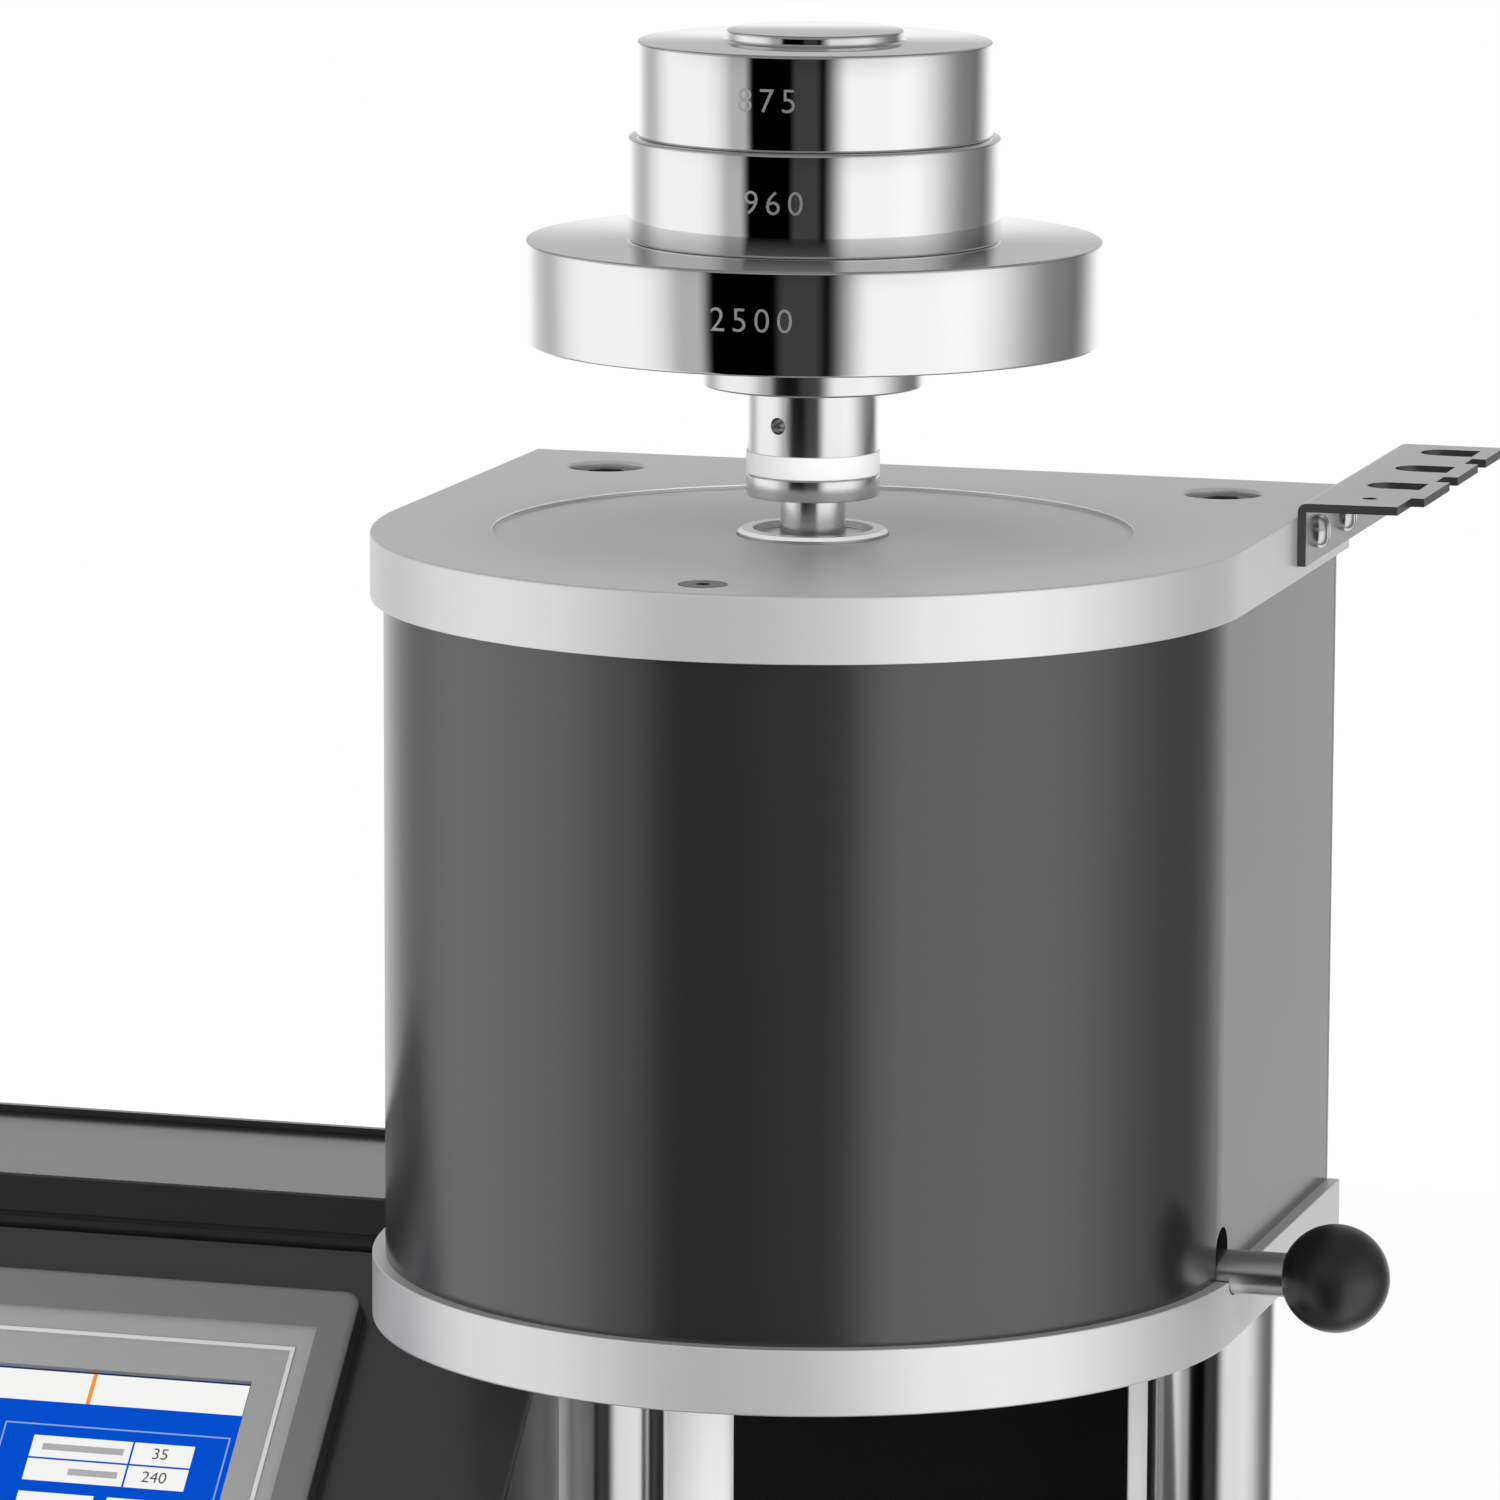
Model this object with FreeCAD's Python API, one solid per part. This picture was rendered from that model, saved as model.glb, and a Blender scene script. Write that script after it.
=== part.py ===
import FreeCAD, Part
import math
import os

# Melt flow index tester, in millimetres.
# Every sub-part is drawn about the barrel's axis, with Z = 0 on the bench.
# The model's origin is the middle of the whole footprint on the bench, so each
# solid is moved there when it is written.

# Base on the bench
base_left = 375.0
base_right = 150.0
base_front = 150.0
base_back = 165.0
base_corner_radius = 8.0
base_underside = 18.0
base_height = 64.0
base_plate_thickness = 3.0
sheet = 2.0
deck_thickness = 8.0
deck_border = 3.0
deck_chamfer = 1.5

# Levelling feet
foot_inset = 38.0
foot_pad_radius = 17.0
foot_pad_height = 9.0
foot_stem_radius = 4.0
foot_stem_reach = 14.0
foot_nut_radius = 8.0
foot_nut_height = 5.0

# Furnace
column_length = 188.6
column_radius = 15.0
column_edge_distance = 25.0
column_back_distance = 24.0
plate_radius = 100.0
plate_back = 108.0
plate_thickness = 15.0
plate_edge_chamfer = 0.4
shell_height = 151.4
shell_inset = 3.0
recess_radius = 72.5
recess_depth = 1.0
tie_bolt_radius = 5.0
tie_head_radius = 8.0
tie_head_height = 10.0
tie_head_sink = 1.2
counterbore_gap = 1.0
counterbore_bevel = 0.6
tie_thread_length = 24.0
hex_socket_width = 8.0
spacer_radius = 12.0
post_radius = 6.0
post_edge_distance = 13.8
post_screw_head_radius = 5.5
post_screw_radius = 3.0
post_screw_length = 22.0

# Barrel, die and heating
barrel_radius = 25.0
barrel_neck_radius = 17.0
barrel_rim_rise = 0.4
barrel_rim_bevel = 0.8
barrel_mouth_radius = 13.5
barrel_mouth_depth = 1.6
barrel_into_plate = 3.6
bore_radius = 4.775
die_radius = 4.74
die_height = 8.0
die_bore_radius = 1.0475
block_radius = 50.0
block_bottom_gap = 16.4
block_top_gap = 10.0
heater_thickness = 4.0
heater_split = 4.0
heater_margin = 3.0
sensor_radius = 2.0
sensor_offset = 36.0
sensor_length = 110.0

# Die gate and its lever
lever_radius = 5.0
lever_height_above_plate = 1.4
lever_travel = 22.0
ball_radius = 12.3
ball_reach = 23.3
gate_thickness = 3.2
gate_half_width = 14.0
gate_boss_start = 26.5
gate_boss_length = 9.5
gate_boss_half_width = 7.5
gate_small_hole_radius = 3.0
gate_release_radius = 6.5
gate_end_margin = 7.0
strand_hole_radius = 13.0

# Piston
sleeve_radius = 7.4
sleeve_depth = 26.0
piston_stop_height = 7.95
piston_foot_radius = 4.737
piston_foot_length = 6.35
piston_rod_radius = 4.45
collar_radius = 15.05
collar_height = 5.0
insulator_radius = 15.1
insulator_height = 5.25
head_radius = 14.8
head_height = 14.8
head_hole_radius = 1.9
head_hole_height = 6.8
head_hole_turn = 16.6
head_socket_depth = 11.0
flange_radius = 25.0
flange_height = 9.7

# Weights
boss_radius = 20.0
boss_height = 2.5
weight_chamfer = 0.6
weight_large_radius = 65.0
weight_large_height = 23.2
weight_middle_radius = 42.0
weight_middle_height = 23.2
weight_small_radius = 40.0
weight_small_height = 21.5

# Strand cutter under the furnace
cutter_pivot_x = -40.0
cutter_pivot_y = 46.0
cutter_arm_drop = 1.6
cutter_arm_thickness = 2.0
cutter_arm_width = 12.0
cutter_hub_radius = 7.0
cutter_shaft_radius = 2.5
cutter_park_turn = -4.0
cutter_tip_overrun = 8.0
cutter_blade_thickness = 0.8
cutter_blade_length = 20.0
cutter_motor_radius = 16.0
cutter_motor_height = 11.0
cutter_bracket_half_width = 9.0
cutter_bracket_reach = 12.0

# Back panel and cable duct behind the columns
back_panel_half_width = 72.0
back_panel_inset = 1.0
window_half_width = 49.3
window_margin = 10.0
window_thickness = 1.0
duct_half_width = 45.0
duct_depth = 26.0
duct_rise = 60.0

# Tool rack on the side of the top plate
rack_front = 53.0
rack_back = 159.0
rack_drop = 11.6
rack_top = 3.0
rack_thickness = 2.0
rack_reach = 26.0
rack_step = 3.0
rack_step_back = 69.0
rack_notch_centres = (101.5, 133.5)
rack_notch_half_width = 4.4
rack_notch_depth = 3.3
rack_slot_centres = (88.0, 118.0, 146.5)
rack_slot_radius = 5.2
rack_slot_start = 8.6
rack_slot_length = 13.2
rack_hole_radius = 1.65
rack_hole_in = 14.0
rack_hole_back = 12.6
rack_screw_positions = (65.4, 93.3)
rack_screw_below_top = 5.0
rack_screw_radius = 2.0
rack_screw_head_radius = 3.9
rack_screw_head_height = 2.6
rack_screw_dome = 2.4
rack_screw_slot = 0.8
rack_screw_length = 8.0

# Operator console
console_right = 75.0
console_plate_gap = 1.5
console_notch_y = 47.0
console_nose_height = 5.8
console_height = 204.5
console_top_front = 49.7
console_top_back = 118.0
console_flange = 9.5
console_lip = 1.7
console_groove = 1.0
console_strip = 1.5
console_rail_depth = 7.0
console_back_foot = 2.0
vent_slot_count = 14
vent_slot_width = 3.0
vent_slot_length = 60.0
vent_slot_pitch = 9.0

# Touch panel on the console's slope
panel_width = 199.8
panel_height = 146.0
panel_down_slope = 14.6
panel_side_margin = 45.3
panel_rise = 6.0
panel_corner_radius = 4.0
panel_edge_round = 1.8
panel_ledge_side = 8.6
panel_ledge_top = 11.2
panel_ledge_depth = 0.8
panel_ridge_side = 12.6
panel_ridge_top = 16.6
panel_ridge_width = 1.2
panel_ridge_height = 0.4
screen_margin_side = 21.2
screen_margin_top = 26.7
screen_drop = 2.2
screen_thickness = 2.0
panel_case_margin = 8.0
panel_case_depth = 32.0
clamp_size = 10.0

# Mains inlet, switch and electronics
inlet_x = -290.0
inlet_width = 62.0
inlet_height = 31.0
inlet_web = 3.0
inlet_flange = 2.5
inlet_depth = 26.0
socket_width = 24.4
socket_height = 16.8
socket_depth = 17.0
pin_width = 2.0
pin_height = 4.0
pin_length = 15.0
pin_pitch = 7.0
rocker_width = 11.0
rocker_height = 20.0
rocker_tilt = 8.0
drawer_width = 10.0
drawer_height = 22.0
drawer_depth = 16.0
drawer_lip = 1.5
board_width = 150.0
board_height = 90.0
board_thickness = 1.6
board_standoff = 8.0
board_from_left = 75.0
board_post_radius = 2.5
board_post_inset = 5.0
supply_width = 98.0
supply_depth = 129.0
supply_height = 38.0

# Bubble level on the deck
level_x = 112.0
level_y = -112.0
level_radius = 12.5
level_height = 7.0
vial_radius = 9.0
vial_height = 6.0

# Clearances
slide_gap = 0.3
fit_gap = 0.05
seat_gap = 0.1

# Levels worked out from the sizes above
deck_top = base_underside + base_height + deck_thickness
plate_bottom = deck_top + column_length
plate_top = plate_bottom + plate_thickness
roof_bottom = plate_top + shell_height
roof_top = roof_bottom + plate_thickness
rim_z = roof_top + barrel_rim_rise
barrel_bottom = plate_top - barrel_into_plate
die_top = barrel_bottom + die_height
lever_z = plate_top + lever_height_above_plate
housing_top = base_underside + base_height
column_x = plate_radius - column_edge_distance
column_back = plate_back - column_back_distance
post_front = plate_radius - post_edge_distance
ball_offset = plate_radius + ball_reach
back_panel_front = plate_back - back_panel_inset
console_notch_x = plate_radius + console_plate_gap
console_top = housing_top + console_height
slope_top = console_top - console_flange - 2 * console_groove - console_strip
nose_top = housing_top + console_nose_height
console_nose = slope_top - nose_top - console_top_front
origin_x = (base_left - base_right) / 2.0
overall_back = base_back + inlet_flange + drawer_lip
origin_y = (base_front - overall_back) / 2.0


def vec(x, y, z):
    return FreeCAD.Vector(x, y, z)


def block(x0, x1, y0, y1, z0, z1):
    return Part.makeBox(x1 - x0, y1 - y0, z1 - z0, vec(x0, y0, z0))


def rod(radius, z0, z1, x=0.0, y=0.0):
    return Part.makeCylinder(radius, z1 - z0, vec(x, y, z0))


def rod_x(radius, x0, x1, y, z):
    return Part.makeCylinder(radius, x1 - x0, vec(x0, y, z), vec(1, 0, 0))


def rod_y(radius, y0, y1, x, z):
    return Part.makeCylinder(radius, y1 - y0, vec(x, y0, z), vec(0, 1, 0))


def tube(outer, inner, z0, z1, x=0.0, y=0.0):
    return rod(outer, z0, z1, x, y).cut(rod(inner, z0, z1, x, y))


def face_of(points):
    closed = [vec(*p) for p in points]
    closed.append(closed[0])
    return Part.Face(Part.makePolygon(closed))


def revolved(profile, x=0.0, y=0.0):
    """Turn a half profile of (radius, height) points about a vertical axis."""
    solid = face_of([(r, 0.0, z) for r, z in profile]).revolve(vec(0, 0, 0), vec(0, 0, 1), 360)
    solid.translate(vec(x, y, 0))
    return solid


def prism_x(profile, x0, x1):
    """Extrude a side profile of (y, z) points from x0 to x1."""
    return face_of([(x0, y, z) for y, z in profile]).extrude(vec(x1 - x0, 0, 0))


def prism_z(outline, z0, z1):
    """Extrude a plan outline of (x, y) points from z0 to z1."""
    return face_of([(x, y, z0) for x, y in outline]).extrude(vec(0, 0, z1 - z0))


def rounded_block(x0, x1, y0, y1, z0, z1, radius):
    """Box whose upright edges are rounded."""
    solid = block(x0, x1, y0, y1, z0, z1)
    upright = [e for e in solid.Edges if abs(e.Length - (z1 - z0)) < 1e-6 and e.tangentAt(0).z ** 2 > 0.5]
    return solid.makeFillet(radius, upright)


def bevel_level_edges(solid, z, size):
    """Chamfer the outer edges that lie at one height."""
    edges = [e for e in solid.Edges if all(abs(v.Z - z) < 1e-6 for v in e.Vertexes)
             and abs(e.BoundBox.ZLength) < 1e-6]
    return solid.makeChamfer(size, edges)


def union(solids):
    first, *others = solids
    return first.fuse(others).removeSplitter() if others else first


def cut_all(solid, tools):
    return solid.cut(tools) if tools else solid


def hex_socket(width, z0, z1, x, y):
    radius = width / 2.0 / math.cos(math.radians(30))
    corners = [(x + radius * math.cos(math.radians(60 * i)), y + radius * math.sin(math.radians(60 * i)))
               for i in range(6)]
    return prism_z(corners, z0, z1)


def furnace_outline(inset, z0, z1, back=None):
    """Plan of the furnace: a half circle in front, straight sides behind it."""
    radius = plate_radius - inset
    rear = plate_back if back is None else back
    arc = Part.Arc(vec(-radius, 0, z0), vec(0, -radius, z0), vec(radius, 0, z0)).toShape()
    sides = [Part.LineSegment(vec(radius, 0, z0), vec(radius, rear, z0)).toShape(),
             Part.LineSegment(vec(radius, rear, z0), vec(-radius, rear, z0)).toShape(),
             Part.LineSegment(vec(-radius, rear, z0), vec(-radius, 0, z0)).toShape()]
    return Part.Face(Part.Wire([arc] + sides)).extrude(vec(0, 0, z1 - z0))


def column_places():
    return [(side * column_x, column_back) for side in (-1, 1)]


def foot_places():
    return {"front_left": (-base_left + foot_inset, -base_front + foot_inset),
            "front_right": (base_right - foot_inset, -base_front + foot_inset),
            "back_left": (-base_left + foot_inset, base_back - foot_inset),
            "back_right": (base_right - foot_inset, base_back - foot_inset)}


def row_of_slots(count, pitch, width, length, centre_x, centre_y, z0, z1):
    """Vertical cutters for a row of long slots, set side by side along X."""
    slots = []
    for i in range(count):
        x = centre_x + (i - (count - 1) / 2.0) * pitch
        slots.append(rounded_block(x - width / 2.0, x + width / 2.0, centre_y - length / 2.0,
                                   centre_y + length / 2.0, z0, z1, width * 0.45))
    return slots


def make_base():
    """Low sheet housing, its bottom plate and the thick deck that carries the columns."""
    parts = {}
    z0 = base_underside
    outer = rounded_block(-base_left, base_right, -base_front, base_back, z0, housing_top, base_corner_radius)
    inner = rounded_block(-base_left + sheet, base_right - sheet, -base_front + sheet, base_back - sheet,
                          z0, housing_top - sheet, base_corner_radius - sheet)
    housing = outer.cut(inner)
    holes = [rod(tie_bolt_radius + slide_gap, z0, deck_top, x, y) for x, y in column_places()]
    inlet_z = z0 + base_height / 2.0
    holes.append(block(inlet_x - inlet_width / 2.0 + inlet_flange, inlet_x + inlet_width / 2.0 - inlet_flange,
                       base_back - sheet, base_back, inlet_z - inlet_height / 2.0 + inlet_flange,
                       inlet_z + inlet_height / 2.0 - inlet_flange))
    vents = row_of_slots(vent_slot_count, vent_slot_pitch, vent_slot_width, base_height * 0.5, 0, 0,
                         -base_right, base_right)
    for slot in vents:
        slot.rotate(vec(0, 0, 0), vec(0, 0, 1), 90)
        slot.rotate(vec(0, 0, 0), vec(0, 1, 0), 90)
        slot.translate(vec(base_right, 0, z0 + base_height / 2.0))
        holes.append(slot.common(block(base_right - 2 * sheet, base_right + 1, -base_front, base_back,
                                       z0, housing_top)))
    cable_hole = block(-duct_half_width + 2 * sheet, duct_half_width - 2 * sheet,
                       back_panel_front + 2 * sheet, back_panel_front + duct_depth - sheet, z0, deck_top)
    parts["base_housing"] = cut_all(housing, holes + [cable_hole])

    plate = rounded_block(-base_left + sheet + seat_gap, base_right - sheet - seat_gap,
                          -base_front + sheet + seat_gap, base_back - sheet - seat_gap,
                          z0, z0 + base_plate_thickness, base_corner_radius - sheet - seat_gap)
    stems = [rod(foot_stem_radius + fit_gap, z0, z0 + base_plate_thickness + foot_nut_height, x, y)
             for x, y in foot_places().values()]
    nuts = [hex_socket(2 * foot_nut_radius, z0 + base_plate_thickness,
                       z0 + base_plate_thickness + foot_nut_height, x, y) for x, y in foot_places().values()]
    slots = row_of_slots(vent_slot_count, vent_slot_pitch, vent_slot_width, vent_slot_length,
                         -origin_x, 0, z0, z0 + base_plate_thickness)
    parts["base_plate"] = cut_all(plate.fuse(nuts), stems + slots)

    deck = block(-console_right + deck_border, base_right - deck_border, -base_front + deck_border,
                 base_back - deck_border, housing_top, deck_top)
    wing = block(-console_notch_x + deck_border, 0, console_notch_y + deck_border, base_back - deck_border,
                 housing_top, deck_top)
    deck = bevel_level_edges(deck.fuse(wing).removeSplitter(), deck_top, deck_chamfer)
    parts["deck_plate"] = cut_all(deck, holes[:len(column_places())] + [cable_hole])
    return parts


def make_feet():
    """Four levelling feet: a rubber pad that swivels on a threaded stem with its lock ring."""
    parts = {}
    stems = []
    for name, (x, y) in foot_places().items():
        pad = revolved([(0, 0), (foot_pad_radius - 1, 0), (foot_pad_radius, 1), (foot_pad_radius - 2, 7),
                        (foot_stem_radius + 4, foot_pad_height), (0, foot_pad_height)], x, y)
        stem = rod(foot_stem_radius, foot_pad_height, base_underside + foot_stem_reach, x, y)
        ring = rod(foot_nut_radius, base_underside - foot_nut_height - slide_gap,
                   base_underside - slide_gap, x, y)
        parts["foot_" + name] = pad
        stems.append(stem.fuse(ring).removeSplitter())
    parts["foot_stems"] = Part.makeCompound(stems)
    return parts


def make_columns():
    """Chrome columns, the tie bolts that go down into them and the bolts under the deck."""
    parts = {}
    thread_depth = tie_thread_length + 2
    columns, spacers, uppers, lowers = [], [], [], []
    for x, y in column_places():
        column = rod(column_radius, deck_top, plate_bottom, x, y)
        column = column.cut(rod(tie_bolt_radius + fit_gap, plate_bottom - thread_depth, plate_bottom, x, y))
        column = column.cut(rod(tie_bolt_radius + fit_gap, deck_top, deck_top + thread_depth, x, y))
        columns.append(column)
        spacers.append(tube(spacer_radius, tie_bolt_radius + slide_gap, plate_top, roof_bottom, x, y))
        head_top = roof_top - tie_head_sink
        head = rod(tie_head_radius, head_top - tie_head_height, head_top, x, y)
        head = bevel_level_edges(head, head_top, plate_edge_chamfer)
        head = head.cut(hex_socket(hex_socket_width, head_top - tie_head_height / 2.0, head_top, x, y))
        shank = rod(tie_bolt_radius, plate_bottom - tie_thread_length, head_top - tie_head_height, x, y)
        uppers.append(head.fuse(shank).removeSplitter())
        under = housing_top - sheet
        low_head = rod(tie_head_radius, under - tie_head_height, under, x, y)
        low_head = low_head.cut(hex_socket(hex_socket_width, under - tie_head_height,
                                           under - tie_head_height / 2.0, x, y))
        low_shank = rod(tie_bolt_radius, under, deck_top + tie_thread_length, x, y)
        lowers.append(low_head.fuse(low_shank).removeSplitter())
    parts["columns"] = Part.makeCompound(columns)
    parts["spacers"] = Part.makeCompound(spacers)
    parts["tie_bolts"] = Part.makeCompound(uppers)
    parts["column_bolts"] = Part.makeCompound(lowers)
    return parts


def gate_reach():
    """How far the gate plate runs to the left and right of the barrel's axis."""
    left = lever_travel + gate_release_radius + gate_end_margin
    right = gate_boss_start + gate_boss_length
    return left, right


def make_furnace_plates():
    """Thick plates above and below the heated barrel, the sheet wrapped between them and its back."""
    parts = {}
    left, right = gate_reach()
    roof = furnace_outline(0, roof_bottom, roof_top)
    roof = bevel_level_edges(roof, roof_top, plate_edge_chamfer)
    cuts = [rod(recess_radius, roof_top - recess_depth, roof_top),
            rod(barrel_neck_radius + seat_gap, roof_bottom, roof_top)]
    head_bottom = roof_top - tie_head_sink - tie_head_height
    for x, y in column_places():
        bore = tie_head_radius + counterbore_gap
        cuts.append(rod(bore, head_bottom, roof_top, x, y))
        cuts.append(Part.makeCone(bore, bore + counterbore_bevel, counterbore_bevel,
                                  vec(x, y, roof_top - counterbore_bevel)))
        cuts.append(rod(tie_bolt_radius + slide_gap, roof_bottom, head_bottom, x, y))
    cuts.append(rod(post_screw_radius + seat_gap, roof_bottom, roof_top, 0, -post_front))
    cuts.append(Part.makeCone(post_screw_radius + seat_gap, post_screw_head_radius + seat_gap,
                              post_screw_head_radius - post_screw_radius,
                              vec(0, -post_front, roof_top - post_screw_head_radius + post_screw_radius)))
    for y in rack_screw_positions:
        cuts.append(rod_x(rack_screw_radius + fit_gap, plate_radius - rack_screw_length - 1, plate_radius,
                          y, roof_top - rack_screw_below_top))
    parts["top_plate"] = cut_all(roof, cuts)

    floor = furnace_outline(0, plate_bottom, plate_top)
    floor = bevel_level_edges(floor, plate_bottom, plate_edge_chamfer)
    pocket_bottom = barrel_bottom - seat_gap - gate_thickness - seat_gap
    pocket = block(-left - slide_gap, right + lever_travel + slide_gap, -gate_half_width - slide_gap,
                   gate_half_width + slide_gap, pocket_bottom, plate_top)
    groove = rod_x(lever_radius + slide_gap, 0, plate_radius + 1, 0, lever_z)
    groove = groove.fuse(block(0, plate_radius + 1, -lever_radius - slide_gap, lever_radius + slide_gap,
                               lever_z, plate_top + 2 * lever_radius))
    seat = rod(barrel_radius + seat_gap, barrel_bottom, plate_top)
    strand = rod(strand_hole_radius, plate_bottom, plate_top)
    bolts = [rod(tie_bolt_radius + slide_gap, plate_bottom, plate_top, x, y) for x, y in column_places()]
    parts["bottom_plate"] = cut_all(floor, [pocket, groove, seat, strand] + bolts)

    cover_back = plate_back - sheet
    wrap = furnace_outline(shell_inset, plate_top, roof_bottom, cover_back)
    wrap = wrap.cut(furnace_outline(shell_inset + sheet, plate_top, roof_bottom, cover_back))
    slot_radius = lever_radius + slide_gap
    slot_top = lever_z + 2 * lever_radius - slot_radius
    slot = block(0, plate_radius, -slot_radius, slot_radius, plate_top, slot_top)
    slot = slot.fuse(rod_x(slot_radius, 0, plate_radius, 0, slot_top))
    parts["furnace_shell"] = wrap.cut(slot)
    half = plate_radius - shell_inset
    cover = block(-half, half, cover_back, plate_back, plate_top, roof_bottom)
    lead_z = plate_top + duct_rise / 2.0
    lead_hole = rod_y(duct_depth / 3.0, cover_back, plate_back, 0, lead_z)
    parts["furnace_back_cover"] = cover.cut(lead_hole)
    parts["front_post"] = rod(post_radius, plate_top, roof_bottom, 0, -post_front).cut(
        rod(post_screw_radius + fit_gap, roof_bottom - post_screw_length, roof_bottom, 0, -post_front))
    rise = post_screw_head_radius - post_screw_radius
    screw = Part.makeCone(post_screw_radius, post_screw_head_radius, rise,
                          vec(0, -post_front, roof_top - rise))
    screw = screw.fuse(rod(post_screw_radius, roof_bottom - post_screw_length + 2 * rise, roof_top - rise,
                           0, -post_front)).removeSplitter()
    parts["front_screw"] = screw.cut(hex_socket(post_screw_radius, roof_top - rise, roof_top, 0, -post_front))
    return parts


def make_barrel():
    """Heated barrel with its die, heating block, two heaters, temperature probe and insulation."""
    parts = {}
    profile = [(bore_radius, barrel_bottom), (barrel_radius, barrel_bottom), (barrel_radius, roof_bottom),
               (barrel_neck_radius, roof_bottom), (barrel_neck_radius, rim_z - barrel_rim_bevel),
               (barrel_neck_radius - barrel_rim_bevel, rim_z), (barrel_mouth_radius, rim_z),
               (barrel_mouth_radius, rim_z - barrel_mouth_depth),
               (sleeve_radius + slide_gap, rim_z - barrel_mouth_depth),
               (sleeve_radius + slide_gap, roof_top - sleeve_depth - 2),
               (bore_radius, roof_top - sleeve_depth - 2)]
    parts["barrel"] = revolved(profile)
    parts["die"] = tube(die_radius, die_bore_radius, barrel_bottom - seat_gap / 2.0, die_top)
    z0 = plate_top + block_bottom_gap
    z1 = roof_bottom - block_top_gap
    block_body = tube(block_radius, barrel_radius + seat_gap, z0, z1)
    probe_bottom = z1 - sensor_length
    probe_hole = rod(sensor_radius + seat_gap, probe_bottom - 1, z1, 0, sensor_offset)
    parts["heating_block"] = block_body.cut(probe_hole)
    parts["temperature_probe"] = rod(sensor_radius, probe_bottom, z1 + block_top_gap / 2.0, 0, sensor_offset)
    inner = block_radius + seat_gap
    outer = inner + heater_thickness
    middle = (z0 + z1) / 2.0
    parts["heater_bands"] = Part.makeCompound([
        tube(outer, inner, z0 + heater_margin, middle - heater_split / 2.0),
        tube(outer, inner, middle + heater_split / 2.0, z1 - heater_margin)])
    wool_bottom = z0 - heater_split
    wool = furnace_outline(shell_inset + sheet + seat_gap, wool_bottom, roof_bottom - 1,
                           plate_back - sheet - seat_gap)
    cuts = [rod(outer + seat_gap, wool_bottom, roof_bottom),
            rod(post_radius + slide_gap, wool_bottom, roof_bottom, 0, -post_front)]
    cuts += [rod(spacer_radius + slide_gap, wool_bottom, roof_bottom, x, y) for x, y in column_places()]
    parts["insulation"] = cut_all(wool, cuts)
    return parts


def make_lever():
    """Die gate that slides in the bottom plate, with its rod and ball knob."""
    parts = {}
    left, right = gate_reach()
    top = barrel_bottom - seat_gap
    bottom = top - gate_thickness
    gate = rounded_block(-left, right, -gate_half_width, gate_half_width, bottom, top, 2.0)
    boss = block(gate_boss_start, right, -gate_boss_half_width, gate_boss_half_width, bottom,
                 lever_z + lever_radius + 2)
    gate = gate.fuse(boss).removeSplitter()
    parts["die_gate"] = cut_all(gate, [rod(gate_small_hole_radius, bottom, top),
                                       rod(gate_release_radius, bottom, top, -lever_travel, 0),
                                       rod_x(lever_radius + fit_gap, gate_boss_start + 1, right, 0, lever_z)])
    parts["lever_rod"] = rod_x(lever_radius, gate_boss_start + 1, ball_offset, 0, lever_z)
    ball = Part.makeSphere(ball_radius, vec(ball_offset, 0, lever_z))
    parts["ball_knob"] = ball.cut(rod_x(lever_radius + fit_gap, ball_offset - 2 * ball_radius, ball_offset,
                                        0, lever_z))
    return parts


def weight(radius, height, bottom):
    """Turned weight: a boss on top and a matching recess below."""
    top = bottom + height
    c = weight_chamfer
    recess = boss_radius + slide_gap
    roof = bottom + boss_height + slide_gap
    profile = [(0, roof), (recess, roof), (recess, bottom), (radius - c, bottom), (radius, bottom + c),
               (radius, top - c), (radius - c, top), (boss_radius, top),
               (boss_radius, top + boss_height - c), (boss_radius - c, top + boss_height),
               (0, top + boss_height)]
    return revolved(profile)


def make_piston():
    """Piston with guide sleeve, collar, insulating ring and head, and the stacked weights."""
    parts = {}
    collar_bottom = roof_top + piston_stop_height
    collar_top = collar_bottom + collar_height
    insulator_top = collar_top + insulator_height
    head_top = insulator_top + head_height
    rod_top = insulator_top + head_socket_depth
    foot_top = die_top + piston_foot_length
    profile = [(0, die_top), (piston_foot_radius, die_top), (piston_foot_radius, foot_top),
               (piston_rod_radius, foot_top + 1), (piston_rod_radius, rod_top), (0, rod_top)]
    parts["piston_rod"] = revolved(profile)
    hole = piston_rod_radius + fit_gap
    parts["guide_sleeve"] = tube(sleeve_radius, hole, roof_top - sleeve_depth, collar_bottom)
    ring = bevel_level_edges(rod(collar_radius, collar_bottom, collar_top), collar_bottom, plate_edge_chamfer)
    parts["piston_collar"] = ring.cut(rod(hole, collar_bottom, collar_top))
    parts["insulating_ring"] = tube(insulator_radius, hole, collar_top, insulator_top)
    c = plate_edge_chamfer
    flange_top = head_top + flange_height
    head = revolved([(0, insulator_top), (head_radius, insulator_top), (head_radius, head_top),
                     (flange_radius - c, head_top), (flange_radius, head_top + c),
                     (flange_radius, flange_top - c), (flange_radius - c, flange_top),
                     (boss_radius, flange_top), (boss_radius, flange_top + boss_height),
                     (0, flange_top + boss_height)])
    pin_hole = Part.makeCylinder(head_hole_radius, head_radius, vec(0, 0, insulator_top + head_hole_height),
                                 vec(0, -1, 0))
    pin_hole.rotate(vec(0, 0, 0), vec(0, 0, 1), -head_hole_turn)
    parts["piston_head"] = head.cut(rod(hole, insulator_top, rod_top + seat_gap)).cut(
        pin_hole.cut(rod(head_radius / 2.0, insulator_top, head_top)))
    z = flange_top
    for name, radius, height in (("weight_2500", weight_large_radius, weight_large_height),
                                 ("weight_960", weight_middle_radius, weight_middle_height),
                                 ("weight_875", weight_small_radius, weight_small_height)):
        parts[name] = weight(radius, height, z)
        z += height
    return parts


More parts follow.
